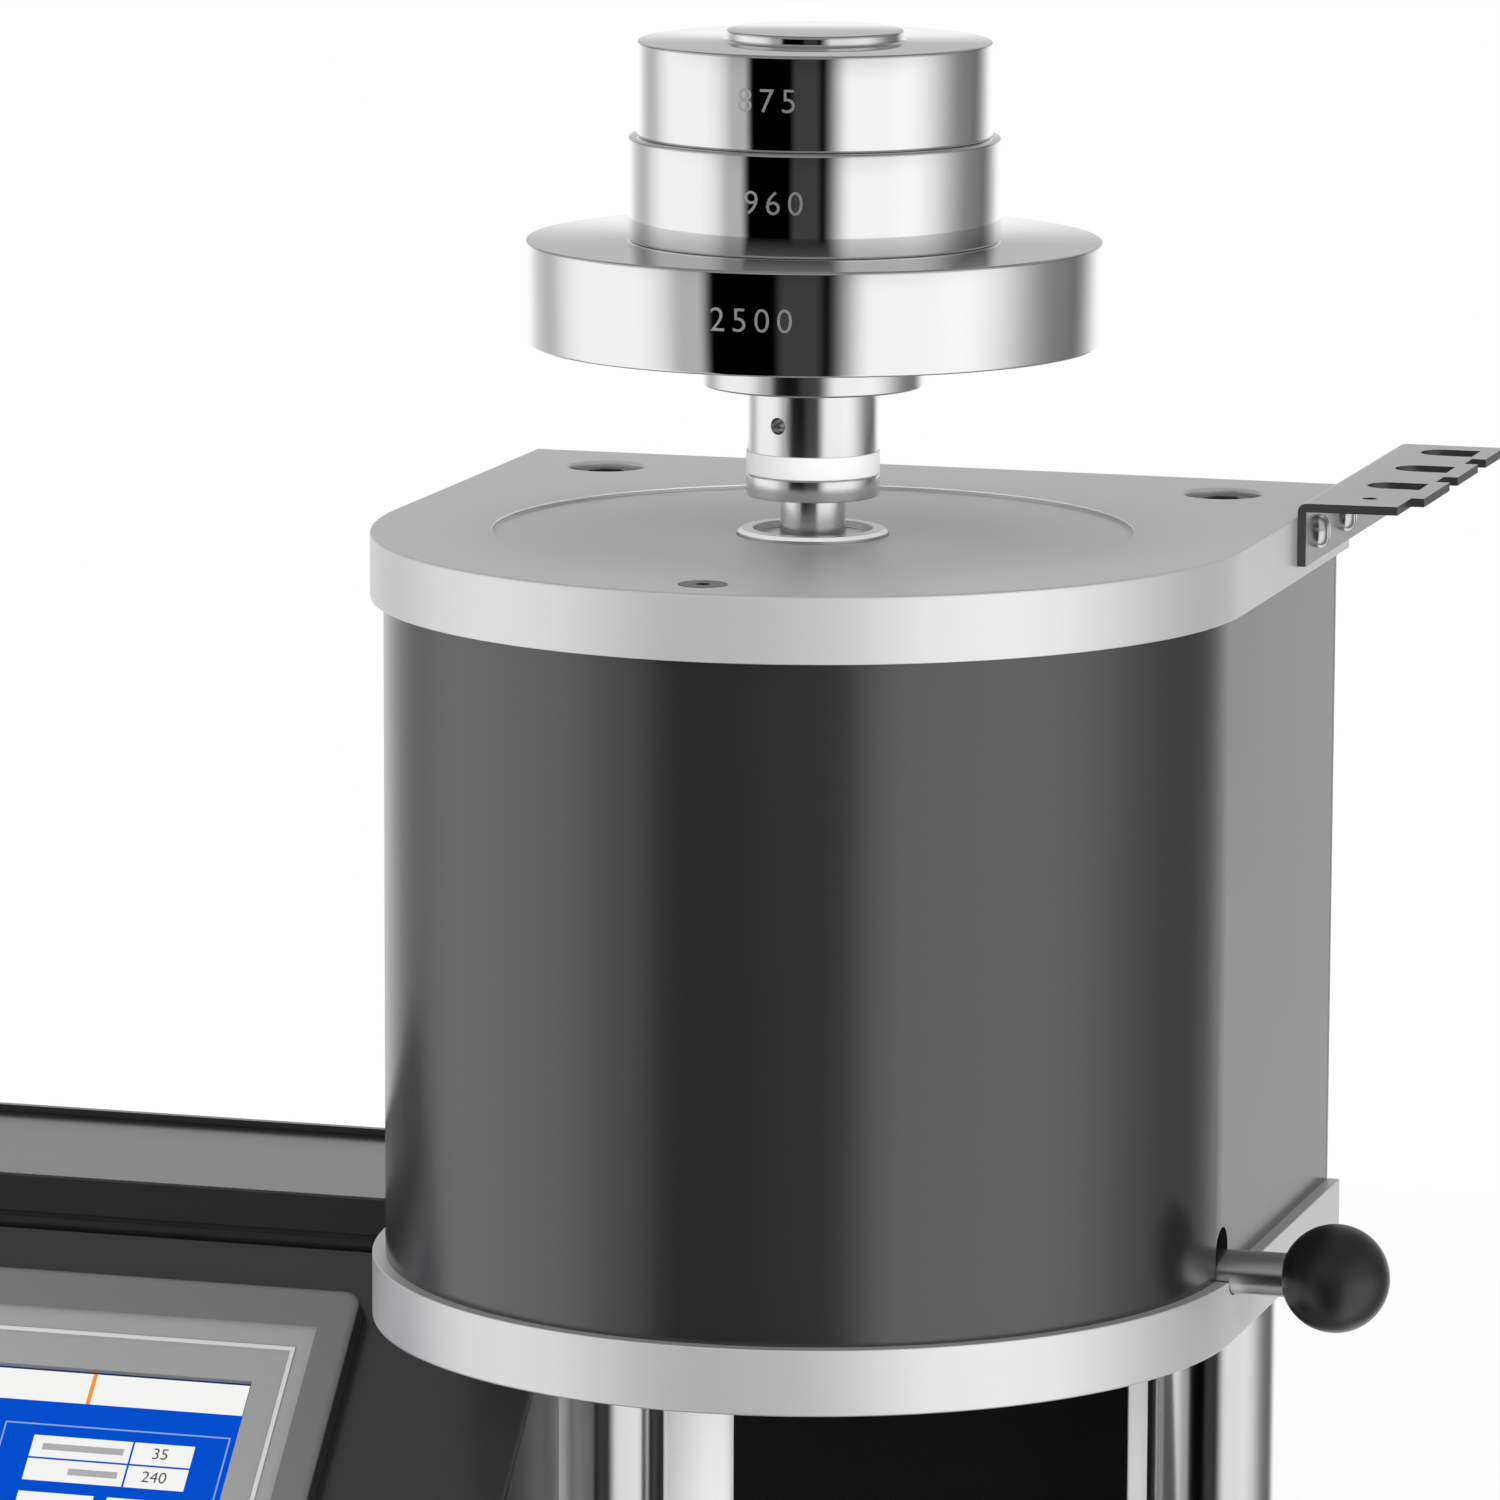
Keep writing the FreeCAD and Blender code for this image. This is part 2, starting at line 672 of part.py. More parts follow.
def make_cutter():
    """Motor-driven arm whose blade sweeps under the die."""
    parts = {}
    x, y = cutter_pivot_x, cutter_pivot_y
    arm_top = plate_bottom - cutter_arm_drop
    arm_bottom = arm_top - cutter_arm_thickness
    bracket_top = arm_bottom - slide_gap
    bracket_bottom = bracket_top - sheet
    motor_bottom = bracket_bottom - cutter_motor_height
    motor = rod(cutter_motor_radius, motor_bottom, bracket_bottom, x, y)
    motor = bevel_level_edges(motor, motor_bottom, plate_edge_chamfer)
    parts["cutter_motor"] = motor
    reach = math.hypot(x, y) + cutter_tip_overrun
    half = cutter_arm_width / 2.0
    arm = block(0, reach - cutter_blade_length / 2.0, -half, half, arm_bottom, arm_top)
    arm = arm.fuse(rod(cutter_hub_radius, arm_bottom, arm_top)).removeSplitter()
    arm = arm.fuse(rod(cutter_shaft_radius, bracket_bottom, arm_bottom)).removeSplitter()
    blade = prism_z([(reach - cutter_blade_length, -half), (reach, -half * 0.4), (reach, half * 0.4),
                     (reach - cutter_blade_length, half)], arm_top, arm_top + cutter_blade_thickness)
    for name, solid in (("cutter_arm", arm), ("cutter_blade", blade)):
        solid.rotate(vec(0, 0, 0), vec(0, 0, 1), cutter_park_turn)
        solid.translate(vec(x, y, 0))
        parts[name] = solid
    b = cutter_bracket_half_width
    leg = x - cutter_motor_radius
    shelf = block(leg - sheet, x + b, y - b, y + b, bracket_bottom, bracket_top)
    shelf = shelf.cut(rod(cutter_shaft_radius + slide_gap, bracket_bottom, bracket_top, x, y))
    wall = block(leg - sheet, leg, y - b, y + b, bracket_top, plate_bottom)
    foot = block(leg - cutter_bracket_reach, leg - sheet, y - b, y + b, plate_bottom - sheet, plate_bottom)
    parts["cutter_bracket"] = union([shelf, wall, foot])
    return parts


def make_back():
    """Panel behind the columns with its black window, and the cable duct up the back."""
    parts = {}
    y0 = back_panel_front
    y1 = y0 + sheet
    parts["back_panel"] = block(-back_panel_half_width, back_panel_half_width, y0, y1, deck_top, plate_bottom)
    parts["back_window"] = block(-window_half_width, window_half_width, y0 - window_thickness, y0,
                                 deck_top + window_margin, plate_bottom - window_margin)
    duct_back = y0 + duct_depth
    duct_top = plate_top + duct_rise
    outer = block(-duct_half_width, duct_half_width, y1, duct_back, deck_top, duct_top)
    inner = block(-duct_half_width + sheet, duct_half_width - sheet, y1, duct_back - sheet,
                  deck_top, duct_top - sheet)
    parts["cable_duct"] = outer.cut(inner)
    return parts


def rack_edge():
    """Outer edge of the rack's shelf: a stepped corner and two square notches."""
    outer = plate_radius + rack_reach
    points = [(outer - rack_step, rack_front + 1), (outer - rack_step, rack_step_back),
              (outer, rack_step_back)]
    for centre in rack_notch_centres:
        w = rack_notch_half_width
        points += [(outer, centre - w), (outer - rack_notch_depth, centre - w),
                   (outer - rack_notch_depth, centre + w), (outer, centre + w)]
    points.append((outer, rack_back))
    return points


def make_tool_rack():
    """Bent bracket for cleaning tools on the right edge of the top plate."""
    top = roof_top + rack_top
    x0 = plate_radius
    shelf = prism_z([(x0, rack_front)] + [(x0 + rack_thickness, rack_front)] + rack_edge()
                    + [(x0, rack_back)], top - rack_thickness, top)
    wall = block(x0, x0 + rack_thickness, rack_front, rack_back, roof_top - rack_drop, top - rack_thickness)
    rack = shelf.fuse(wall).removeSplitter()
    corner = [e for e in rack.Edges if abs(e.Length - (rack_back - rack_front)) < 1e-6
              and all(abs(v.X - x0) < 1e-6 and abs(v.Z - top) < 1e-6 for v in e.Vertexes)]
    rack = rack.makeFillet(rack_thickness, corner)
    cuts = []
    for y in rack_slot_centres:
        start = x0 + rack_slot_start + rack_slot_radius
        end = x0 + rack_slot_start + rack_slot_length
        cuts.append(rod(rack_slot_radius, top - rack_thickness, top, start, y))
        cuts.append(block(start, end, y - rack_slot_radius, y + rack_slot_radius, top - rack_thickness, top))
    cuts.append(rod(rack_hole_radius, top - rack_thickness, top, x0 + rack_hole_in,
                    rack_front + rack_hole_back))
    screws = []
    z = roof_top - rack_screw_below_top
    for y in rack_screw_positions:
        cuts.append(rod_x(rack_screw_radius + seat_gap, x0, x0 + rack_thickness, y, z))
        face = x0 + rack_thickness
        shank = rod_x(rack_screw_radius, x0 - rack_screw_length, face, y, z)
        head = rod_x(rack_screw_head_radius, face, face + rack_screw_head_height, y, z)
        rim = [e for e in head.Edges if abs(e.BoundBox.XMin - face - rack_screw_head_height) < 1e-6
               and e.BoundBox.XLength < 1e-6]
        head = head.makeFillet(rack_screw_dome, rim)
        slot = block(face + rack_screw_head_height / 2.0, face + 2 * rack_screw_head_height,
                     y - rack_screw_slot / 2.0, y + rack_screw_slot / 2.0,
                     z - rack_screw_head_radius, z + rack_screw_head_radius)
        screws.append(shank.fuse(head).removeSplitter().cut(slot))
    return {"tool_rack": cut_all(rack, cuts), "rack_screws": Part.makeCompound(screws)}


def slope_origin():
    """Point on the console's slope where the touch panel's top edge lies."""
    down = panel_down_slope / math.sqrt(2.0)
    return console_top_front - down, slope_top - down


def on_slope(solid):
    """Carry a solid that was drawn flat, with Y up the slope and Z outwards, onto the 45 degree slope."""
    y, z = slope_origin()
    solid.rotate(vec(0, 0, 0), vec(1, 0, 0), 45)
    solid.translate(vec(-console_right - panel_side_margin - panel_width / 2.0, y, z))
    return solid


def make_console():
    """Sheet console with a 45 degree front, a cover with a front flange, and a louvred back."""
    parts = {}
    x0, x1 = -base_left, -console_right
    top = console_top
    front = console_top_front
    back_low = base_back - console_back_foot
    run = sheet * math.sqrt(2.0)
    outer = [(-console_nose, housing_top), (-console_nose, nose_top), (front, slope_top), (front, top),
             (console_top_back, top), (back_low, housing_top)]
    inner = [(-console_nose + sheet, housing_top), (-console_nose + sheet, nose_top),
             (front - sheet, slope_top), (front, top), (console_top_back - sheet, top),
             (back_low - sheet, housing_top)]
    notch = block(-console_notch_x, 0, console_notch_y, base_back, 0, top + console_lip + 1)
    inner_notch = block(-console_notch_x - sheet, 0, console_notch_y - sheet, base_back, 0,
                        top + console_lip + 1)
    body = prism_x(outer, x0, x1).cut(notch)
    cavity = prism_x(inner, x0 + sheet, x1 - sheet).cut(inner_notch)
    front_band = [(-console_nose - 1, nose_top - 1), (front, slope_top), (front, slope_top - run),
                  (-console_nose + sheet, nose_top - run + sheet), (-console_nose - 1, nose_top - run - 1)]
    band = prism_x(front_band, x0, x1)
    cover_zone = block(x0, x1, front, console_top_back - sheet, top - sheet, top).fuse(
        block(x0, x1, front, front + sheet, slope_top, top))
    lip = block(x0, -console_notch_x, console_top_back - sheet, console_top_back, top, top + console_lip)
    rail_z = slope_top + console_groove
    rail = block(x0 + sheet, x1 - sheet, front + sheet, front + console_rail_depth, slope_top - sheet,
                 top - console_flange).cut(inner_notch)
    strip = block(x0, x1, front, front + sheet, rail_z, rail_z + console_strip).cut(notch)
    housing = body.cut(cavity).cut(band).cut(cover_zone)
    housing = union([housing, lip.cut(notch), rail, strip])
    vents = row_of_slots(vent_slot_count, vent_slot_pitch, vent_slot_width, vent_slot_length,
                         (x0 - console_notch_x) / 2.0, 0, -base_height, base_height)
    middle_y = (console_top_back + back_low) / 2.0
    for slot in vents:
        slot.rotate(vec(0, 0, 0), vec(1, 0, 0), 90)
        slot.translate(vec(0, middle_y, (top + housing_top) / 2.0))
    parts["console_housing"] = cut_all(housing, vents)

    panel = band.common(prism_x(outer, x0, x1)).cut(notch)
    m = panel_case_margin - 1
    window = block(-panel_width / 2.0 + m, panel_width / 2.0 - m, -panel_height + m, -m,
                   -3 * sheet, 3 * sheet)
    parts["console_front"] = panel.cut(on_slope(window))
    cover = block(x0, x1, front, console_top_back - sheet, top - sheet, top).fuse(
        block(x0, x1, front, front + sheet, top - console_flange, top - sheet)).removeSplitter()
    parts["console_cover"] = cover.cut(notch)
    return parts


def make_touch_panel():
    """Touch panel let into the console's slope: bezel, screen glass, case behind and its clamps."""
    parts = {}
    w, h = panel_width, panel_height
    bezel = rounded_block(-w / 2.0, w / 2.0, -h, 0, 0, panel_rise, panel_corner_radius)
    rim = [e for e in bezel.Edges if all(abs(v.Z - panel_rise) < 1e-6 for v in e.Vertexes)]
    bezel = bezel.makeFillet(panel_edge_round, rim)
    floor = panel_rise - panel_ledge_depth
    ledge = block(-w / 2.0 + panel_ledge_side, w / 2.0 - panel_ledge_side, -h + panel_ledge_top,
                  -panel_ledge_top, floor, panel_rise)
    ridge_x, ridge_y = w / 2.0 - panel_ridge_side, panel_ridge_top
    ridge = block(-ridge_x, ridge_x, -h + ridge_y, -ridge_y, floor, floor + panel_ridge_height)
    inside = panel_ridge_width
    ridge = ridge.cut(block(-ridge_x + inside, ridge_x - inside, -h + ridge_y + inside, -ridge_y - inside,
                            floor, floor + panel_ridge_height))
    sx, sy = w / 2.0 - screen_margin_side, screen_margin_top
    face = panel_rise - screen_drop
    opening = block(-sx, sx, -h + sy, -sy, face - screen_thickness, panel_rise)
    parts["touch_bezel"] = on_slope(bezel.cut(ledge).fuse(ridge).removeSplitter().cut(opening))
    parts["touch_screen"] = on_slope(block(-sx + seat_gap, sx - seat_gap, -h + sy + seat_gap, -sy - seat_gap,
                                           face - screen_thickness, face))
    m = panel_case_margin
    case = rounded_block(-w / 2.0 + m, w / 2.0 - m, -h + m, -m, -panel_case_depth, 0,
                         panel_corner_radius / 2.0)
    parts["touch_case"] = on_slope(case)
    clamps = []
    for x in (-w / 4.0, w / 4.0):
        for y0, y1 in ((-m, -m + clamp_size), (-h + m - clamp_size, -h + m)):
            clamps.append(on_slope(block(x - clamp_size / 2.0, x + clamp_size / 2.0, y0, y1,
                                         -sheet - clamp_size, -sheet)))
    parts["panel_clamps"] = Part.makeCompound(clamps)
    return parts


def make_electronics():
    """Mains inlet with fuse drawer and switch, the power supply and the control board."""
    parts = {}
    z = base_underside + base_height / 2.0
    x0, x1 = inlet_x - inlet_width / 2.0, inlet_x + inlet_width / 2.0
    y0 = base_back
    flange = rounded_block(x0, x1, -inlet_height / 2.0, inlet_height / 2.0, 0, inlet_flange, 2.0)
    flange.rotate(vec(0, 0, 0), vec(1, 0, 0), -90)
    flange.translate(vec(0, y0, z))
    inset = inlet_flange + seat_gap
    body = block(x0 + inset, x1 - inset, y0 - inlet_depth, y0, z - inlet_height / 2.0 + inset,
                 z + inlet_height / 2.0 - inset)
    module = flange.fuse(body).removeSplitter()
    mouth = y0 + inlet_flange
    socket_x = x0 + inset + inlet_web + socket_width / 2.0
    drawer_x = socket_x + socket_width / 2.0 + inlet_web + drawer_width / 2.0
    rocker_x = drawer_x + drawer_width / 2.0 + inlet_web + rocker_width / 2.0
    socket = block(socket_x - socket_width / 2.0, socket_x + socket_width / 2.0, mouth - socket_depth, mouth,
                   z - socket_height / 2.0, z + socket_height / 2.0)
    drawer_bay = block(drawer_x - drawer_width / 2.0 - slide_gap, drawer_x + drawer_width / 2.0 + slide_gap,
                       mouth - drawer_depth - slide_gap, mouth, z - drawer_height / 2.0 - slide_gap,
                       z + drawer_height / 2.0 + slide_gap)
    rocker_bay = block(rocker_x - rocker_width / 2.0 - slide_gap, rocker_x + rocker_width / 2.0 + slide_gap,
                       mouth - rocker_height / 2.0, mouth, z - rocker_height / 2.0 - 1,
                       z + rocker_height / 2.0 + 1)
    parts["mains_inlet"] = cut_all(module, [socket, drawer_bay, rocker_bay])
    pins = []
    for dx, dz in ((-pin_pitch, -2.0), (pin_pitch, -2.0), (0.0, 2.0)):
        pins.append(block(socket_x + dx - pin_width / 2.0, socket_x + dx + pin_width / 2.0,
                          mouth - socket_depth, mouth - socket_depth + pin_length,
                          z + dz - pin_height / 2.0, z + dz + pin_height / 2.0))
    parts["inlet_pins"] = Part.makeCompound(pins)
    drawer = block(drawer_x - drawer_width / 2.0, drawer_x + drawer_width / 2.0, mouth - drawer_depth,
                   mouth, z - drawer_height / 2.0, z + drawer_height / 2.0)
    grip = block(drawer_x - drawer_width / 2.0, drawer_x + drawer_width / 2.0, mouth, mouth + drawer_lip,
                 z - drawer_height / 2.0, z + drawer_height / 2.0)
    parts["fuse_drawer"] = drawer.fuse(grip).removeSplitter()
    h = rocker_height / 2.0
    axis_y = mouth - 2.0
    depth = h * 0.45
    profile = [(axis_y - depth, z - h * 0.6), (axis_y - depth, z + h * 0.6), (axis_y + 2.0, z + h),
               (axis_y + 0.9, z), (axis_y + 2.0, z - h)]
    rocker = prism_x(profile, rocker_x - rocker_width / 2.0, rocker_x + rocker_width / 2.0)
    rocker.rotate(vec(rocker_x, axis_y, z), vec(1, 0, 0), rocker_tilt)
    parts["power_rocker"] = rocker

    floor = base_underside + base_plate_thickness
    sx = -console_right - supply_width
    supply = rounded_block(sx, sx + supply_width, -supply_depth / 2.0, supply_depth / 2.0, floor,
                           floor + supply_height, 1.5)
    parts["power_supply"] = supply
    bx = board_from_left + board_width / 2.0 - base_left
    board_z = housing_top + board_standoff
    by = base_back - 2 * board_height
    board = block(bx - board_width / 2.0, bx + board_width / 2.0, by, by + board_height,
                  board_z, board_z + board_thickness)
    posts = [rod(board_post_radius, housing_top, board_z, bx + dx, by + board_height / 2.0 + dy)
             for dx in (board_post_inset - board_width / 2.0, board_width / 2.0 - board_post_inset)
             for dy in (board_post_inset - board_height / 2.0, board_height / 2.0 - board_post_inset)]
    parts["control_board"] = Part.makeCompound([board] + posts)
    return parts


def make_level():
    """Round bubble level let onto the deck."""
    ring = rod(level_radius, deck_top, deck_top + level_height, level_x, level_y)
    ring = bevel_level_edges(ring, deck_top + level_height, 1.0)
    ring = ring.cut(rod(vial_radius + seat_gap, deck_top + level_height - vial_height,
                        deck_top + level_height, level_x, level_y))
    vial = rod(vial_radius, deck_top + level_height - vial_height, deck_top + level_height + 0.5,
               level_x, level_y)
    return {"level_housing": ring, "level_vial": vial}


def main():
    os.makedirs("parts", exist_ok=True)
    makers = (make_base, make_feet, make_columns, make_furnace_plates, make_barrel, make_lever, make_piston,
              make_cutter, make_back, make_tool_rack, make_console, make_touch_panel, make_electronics,
              make_level)
    for maker in makers:
        for name, shape in maker().items():
            shape.translate(vec(origin_x, origin_y, 0))
            shape.exportStep("parts/" + name + ".step")
            print(name, len(shape.Solids), round(shape.Volume), shape.isValid())


main()
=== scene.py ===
import logging
import math
from dataclasses import dataclass
from enum import Enum
from typing import ClassVar, Iterable, Iterator, Sequence

import bmesh
import bpy
from mathutils import Matrix, Vector


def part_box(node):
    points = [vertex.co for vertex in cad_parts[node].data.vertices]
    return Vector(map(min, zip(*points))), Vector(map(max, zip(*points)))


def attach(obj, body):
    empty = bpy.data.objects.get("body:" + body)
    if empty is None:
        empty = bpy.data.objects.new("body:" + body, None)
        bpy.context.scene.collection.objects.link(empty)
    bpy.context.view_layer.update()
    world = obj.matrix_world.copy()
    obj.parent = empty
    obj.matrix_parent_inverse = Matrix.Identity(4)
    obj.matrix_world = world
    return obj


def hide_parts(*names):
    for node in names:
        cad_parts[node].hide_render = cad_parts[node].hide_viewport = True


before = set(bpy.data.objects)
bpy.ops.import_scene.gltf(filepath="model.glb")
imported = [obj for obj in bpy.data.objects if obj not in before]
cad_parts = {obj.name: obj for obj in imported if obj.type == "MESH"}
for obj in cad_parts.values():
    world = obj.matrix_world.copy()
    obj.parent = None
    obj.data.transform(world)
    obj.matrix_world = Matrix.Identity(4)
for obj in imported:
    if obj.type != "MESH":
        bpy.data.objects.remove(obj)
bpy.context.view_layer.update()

log = logging.getLogger("melt_flow_tester")

Triple = tuple[float, float, float]
MM = 0.001
ORIGIN = Vector((0.0, 0.0, 0.0))
SHARP = 30.0
TURNED_SHARP = 35.0
MERGE_DISTANCE = 2e-6
FLAT_ANGLE = 0.3
ON_AXIS = 1e-7
LONGEST_REACH = 0.45
FEET = {"foot_front_left": "foot_fl", "foot_front_right": "foot_fr",
        "foot_back_left": "foot_bl", "foot_back_right": "foot_br"}


class Grain(Enum):
    """Kinds of fine relief that a finish can carry."""

    BEAD_BLAST = "bead_blast"
    LATHE = "lathe"
    POWDER = "powder"
    MOULDED = "moulded"
    DRAWN = "drawn"


@dataclass(frozen=True)
class Box:
    """Box of a CAD node, in metres.

    Attributes:
        low: Lowest corner.
        high: Highest corner.
    """

    low: Vector
    high: Vector

    @property
    def centre(self) -> Vector:
        """Middle of the box."""
        return (self.low + self.high) / 2

    @property
    def size(self) -> Vector:
        """Edge lengths of the box."""
        return self.high - self.low


def node_box(name: str) -> Box:
    """Box of a CAD node at rest.

    Args:
        name: The node's name.

    Returns:
        The node's box in metres.
    """
    low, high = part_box(name)
    return Box(low, high)


class NodeSheet:
    """Small helper that adds and links nodes in one node tree."""

    def __init__(self, tree: bpy.types.NodeTree) -> None:
        """Keep the tree and forget what it held before.

        Args:
            tree: Node tree to fill.
        """
        self.tree = tree
        tree.nodes.clear()

    def add(self, kind: str, inputs: dict | None = None, **settings: object) -> bpy.types.Node:
        """Add a node, set its properties and then its inputs.

        Args:
            kind: Blender's name of the node type.
            inputs: Input name or index to a value, or to a socket that is linked.
            settings: Node properties.

        Returns:
            The new node.
        """
        node = self.tree.nodes.new(kind)
        for key, value in settings.items():
            setattr(node, key, value)
        for key, value in (inputs or {}).items():
            if isinstance(value, bpy.types.NodeSocket):
                self.tree.links.new(value, node.inputs[key])
            else:
                node.inputs[key].default_value = value
        return node

    def math(self, operation: str, *values: object, clamp: bool = False) -> bpy.types.NodeSocket:
        """Add a Math node.

        Args:
            operation: Name of the operation.
            values: One value or socket for each input.
            clamp: Whether the result is kept between 0 and 1.

        Returns:
            The node's output.
        """
        node = self.add("ShaderNodeMath", dict(enumerate(values)), operation=operation, use_clamp=clamp)
        return node.outputs[0]

    def noise(self, inputs: dict, dimensions: str = "3D") -> bpy.types.NodeSocket:
        """Add a Noise Texture node.

        Args:
            inputs: Its inputs by name.
            dimensions: Number of dimensions.

        Returns:
            The node's value.
        """
        return self.add("ShaderNodeTexNoise", inputs, noise_dimensions=dimensions).outputs["Fac"]

    def ramp(self, value: bpy.types.NodeSocket, low: float, high: float, start: float = 0.0, end: float = 1.0,
             kind: str = "LINEAR") -> bpy.types.NodeSocket:
        """Add a Map Range node that stays between its two ends.

        Args:
            value: Value to map.
            low: Value that gives the start.
            high: Value that gives the end.
            start: Result at the low value.
            end: Result at the high value.
            kind: Name of the interpolation.

        Returns:
            The node's output.
        """
        inputs = {"Value": value, "From Min": low, "From Max": high, "To Min": start, "To Max": end}
        return self.add("ShaderNodeMapRange", inputs, interpolation_type=kind).outputs[0]


def add_sockets(tree: bpy.types.NodeTree, way: str, sockets: Iterable[tuple]) -> None:
    """Give a node tree named sockets.

    Args:
        tree: The tree.
        way: INPUT or OUTPUT.
        sockets: Name, socket type and, where it has one, default value of each.
    """
    for label, kind, *default in sockets:
        socket = tree.interface.new_socket(name=label, in_out=way, socket_type=kind)
        if default:
            socket.default_value = default[0]


def new_group(name: str, inputs: Iterable[tuple],
              outputs: Iterable[tuple]) -> tuple[NodeSheet, bpy.types.NodeOutputs]:
    """Start a shader node group with named sockets.

    Args:
        name: Name of the group.
        inputs: Name, socket type and, where it has one, default value of each input.
        outputs: Name and socket type of each output.

    Returns:
        The group's sheet and what comes in.
    """
    tree = bpy.data.node_groups.new(name, "ShaderNodeTree")
    add_sockets(tree, "INPUT", inputs)
    add_sockets(tree, "OUTPUT", outputs)
    sheet = NodeSheet(tree)
    return sheet, sheet.add("NodeGroupInput").outputs


class Effects:
    """Shader groups that several finishes share."""

    RELIEF = (("Height", "NodeSocketFloat"), ("Mask", "NodeSocketFloat"))

    def __init__(self) -> None:
        """Build every group once."""
        self.relief = self._relief()
        self.lathe = self._lathe()
        self.tone = self._tone()
        self.drawn = self._drawn()

    def _relief(self) -> bpy.types.NodeTree:
        """Isotropic fine relief, as on blasted metal, powder coat or moulded plastic.

        Returns:
            The group's tree.
        """
        sheet, given = new_group("fine_relief", (
            ("Vector", "NodeSocketVector"), ("Size", "NodeSocketFloat", 0.0004),
            ("Softness", "NodeSocketFloat", 0.5)), self.RELIEF)
        scale = sheet.math("DIVIDE", 1.0, given["Size"])
        fine = sheet.noise({"Vector": given["Vector"], "Scale": scale, "Detail": 3.0,
                            "Roughness": given["Softness"]})
        broad = sheet.noise({"Vector": given["Vector"], "Scale": sheet.math("MULTIPLY", scale, 0.18),
                             "Detail": 2.0})
        total = sheet.math("ADD", fine, sheet.math("MULTIPLY", broad, 0.4))
        sheet.add("NodeGroupOutput", {"Height": total, "Mask": broad})
        return sheet.tree

    def _lathe(self) -> bpy.types.NodeTree:
        """Fine rings left by a turning tool about a vertical axis through the group's zero point.

        Returns:
            The group's tree.
        """
        sheet, given = new_group("lathe_lines", (
            ("Vector", "NodeSocketVector"), ("Pitch", "NodeSocketFloat", 0.0003)), self.RELIEF)
        x, y, z = sheet.add("ShaderNodeSeparateXYZ", {0: given["Vector"]}).outputs
        square = sheet.math("ADD", sheet.math("MULTIPLY", x, x), sheet.math("MULTIPLY", y, y))
        radius = sheet.math("SQRT", square)
        step = sheet.math("DIVIDE", sheet.math("ADD", radius, z), given["Pitch"])
        fine = sheet.noise({"W": step, "Scale": 1.0, "Detail": 2.0}, "1D")
        broad = sheet.noise({"W": sheet.math("MULTIPLY", step, 0.09), "Scale": 1.0, "Detail": 2.0}, "1D")
        sheet.add("NodeGroupOutput", {"Height": fine, "Mask": broad})
        return sheet.tree

    def _drawn(self) -> bpy.types.NodeTree:
        """Long fine lines along one axis, as on rolled or brushed sheet.

        Returns:
            The group's tree.
        """
        sheet, given = new_group("drawn_lines", (
            ("Vector", "NodeSocketVector"), ("Stretch", "NodeSocketVector", (1.0, 1.0, 1.0))), self.RELIEF)
        scaled = sheet.add("ShaderNodeVectorMath", {0: given["Vector"], 1: given["Stretch"]},
                           operation="MULTIPLY")
        fine = sheet.noise({"Vector": scaled.outputs[0], "Scale": 1.0, "Detail": 4.0})
        broad = sheet.noise({"Vector": given["Vector"], "Scale": 45.0, "Detail": 2.0})
        sheet.add("NodeGroupOutput", {"Height": fine, "Mask": broad})
        return sheet.tree

    def _tone(self) -> bpy.types.NodeTree:
        """Slow variation of a colour and of how rough it is, from handling and cleaning.

        Returns:
            The group's tree.
        """
        sheet, given = new_group("handled_tone", (
            ("Vector", "NodeSocketVector"), ("Colour", "NodeSocketColor", (0.5, 0.5, 0.5, 1.0)),
            ("Spread", "NodeSocketFloat", 0.04), ("Roughness", "NodeSocketFloat", 0.4),
            ("Rough Spread", "NodeSocketFloat", 0.05)),
            (("Colour", "NodeSocketColor"), ("Roughness", "NodeSocketFloat")))
        cloud = sheet.noise({"Vector": given["Vector"], "Scale": 14.0, "Detail": 4.0, "Roughness": 0.6})
        centred = sheet.math("SUBTRACT", cloud, 0.5)
        gain = sheet.math("ADD", sheet.math("MULTIPLY", centred, given["Spread"]), 1.0)
        shade = sheet.add("ShaderNodeVectorMath", {0: given["Colour"], "Scale": gain}, operation="SCALE")
        change = sheet.math("MULTIPLY", centred, given["Rough Spread"])
        rough = sheet.math("ADD", given["Roughness"], change, clamp=True)
        sheet.add("NodeGroupOutput", {"Colour": shade.outputs[0], "Roughness": rough})
        return sheet.tree


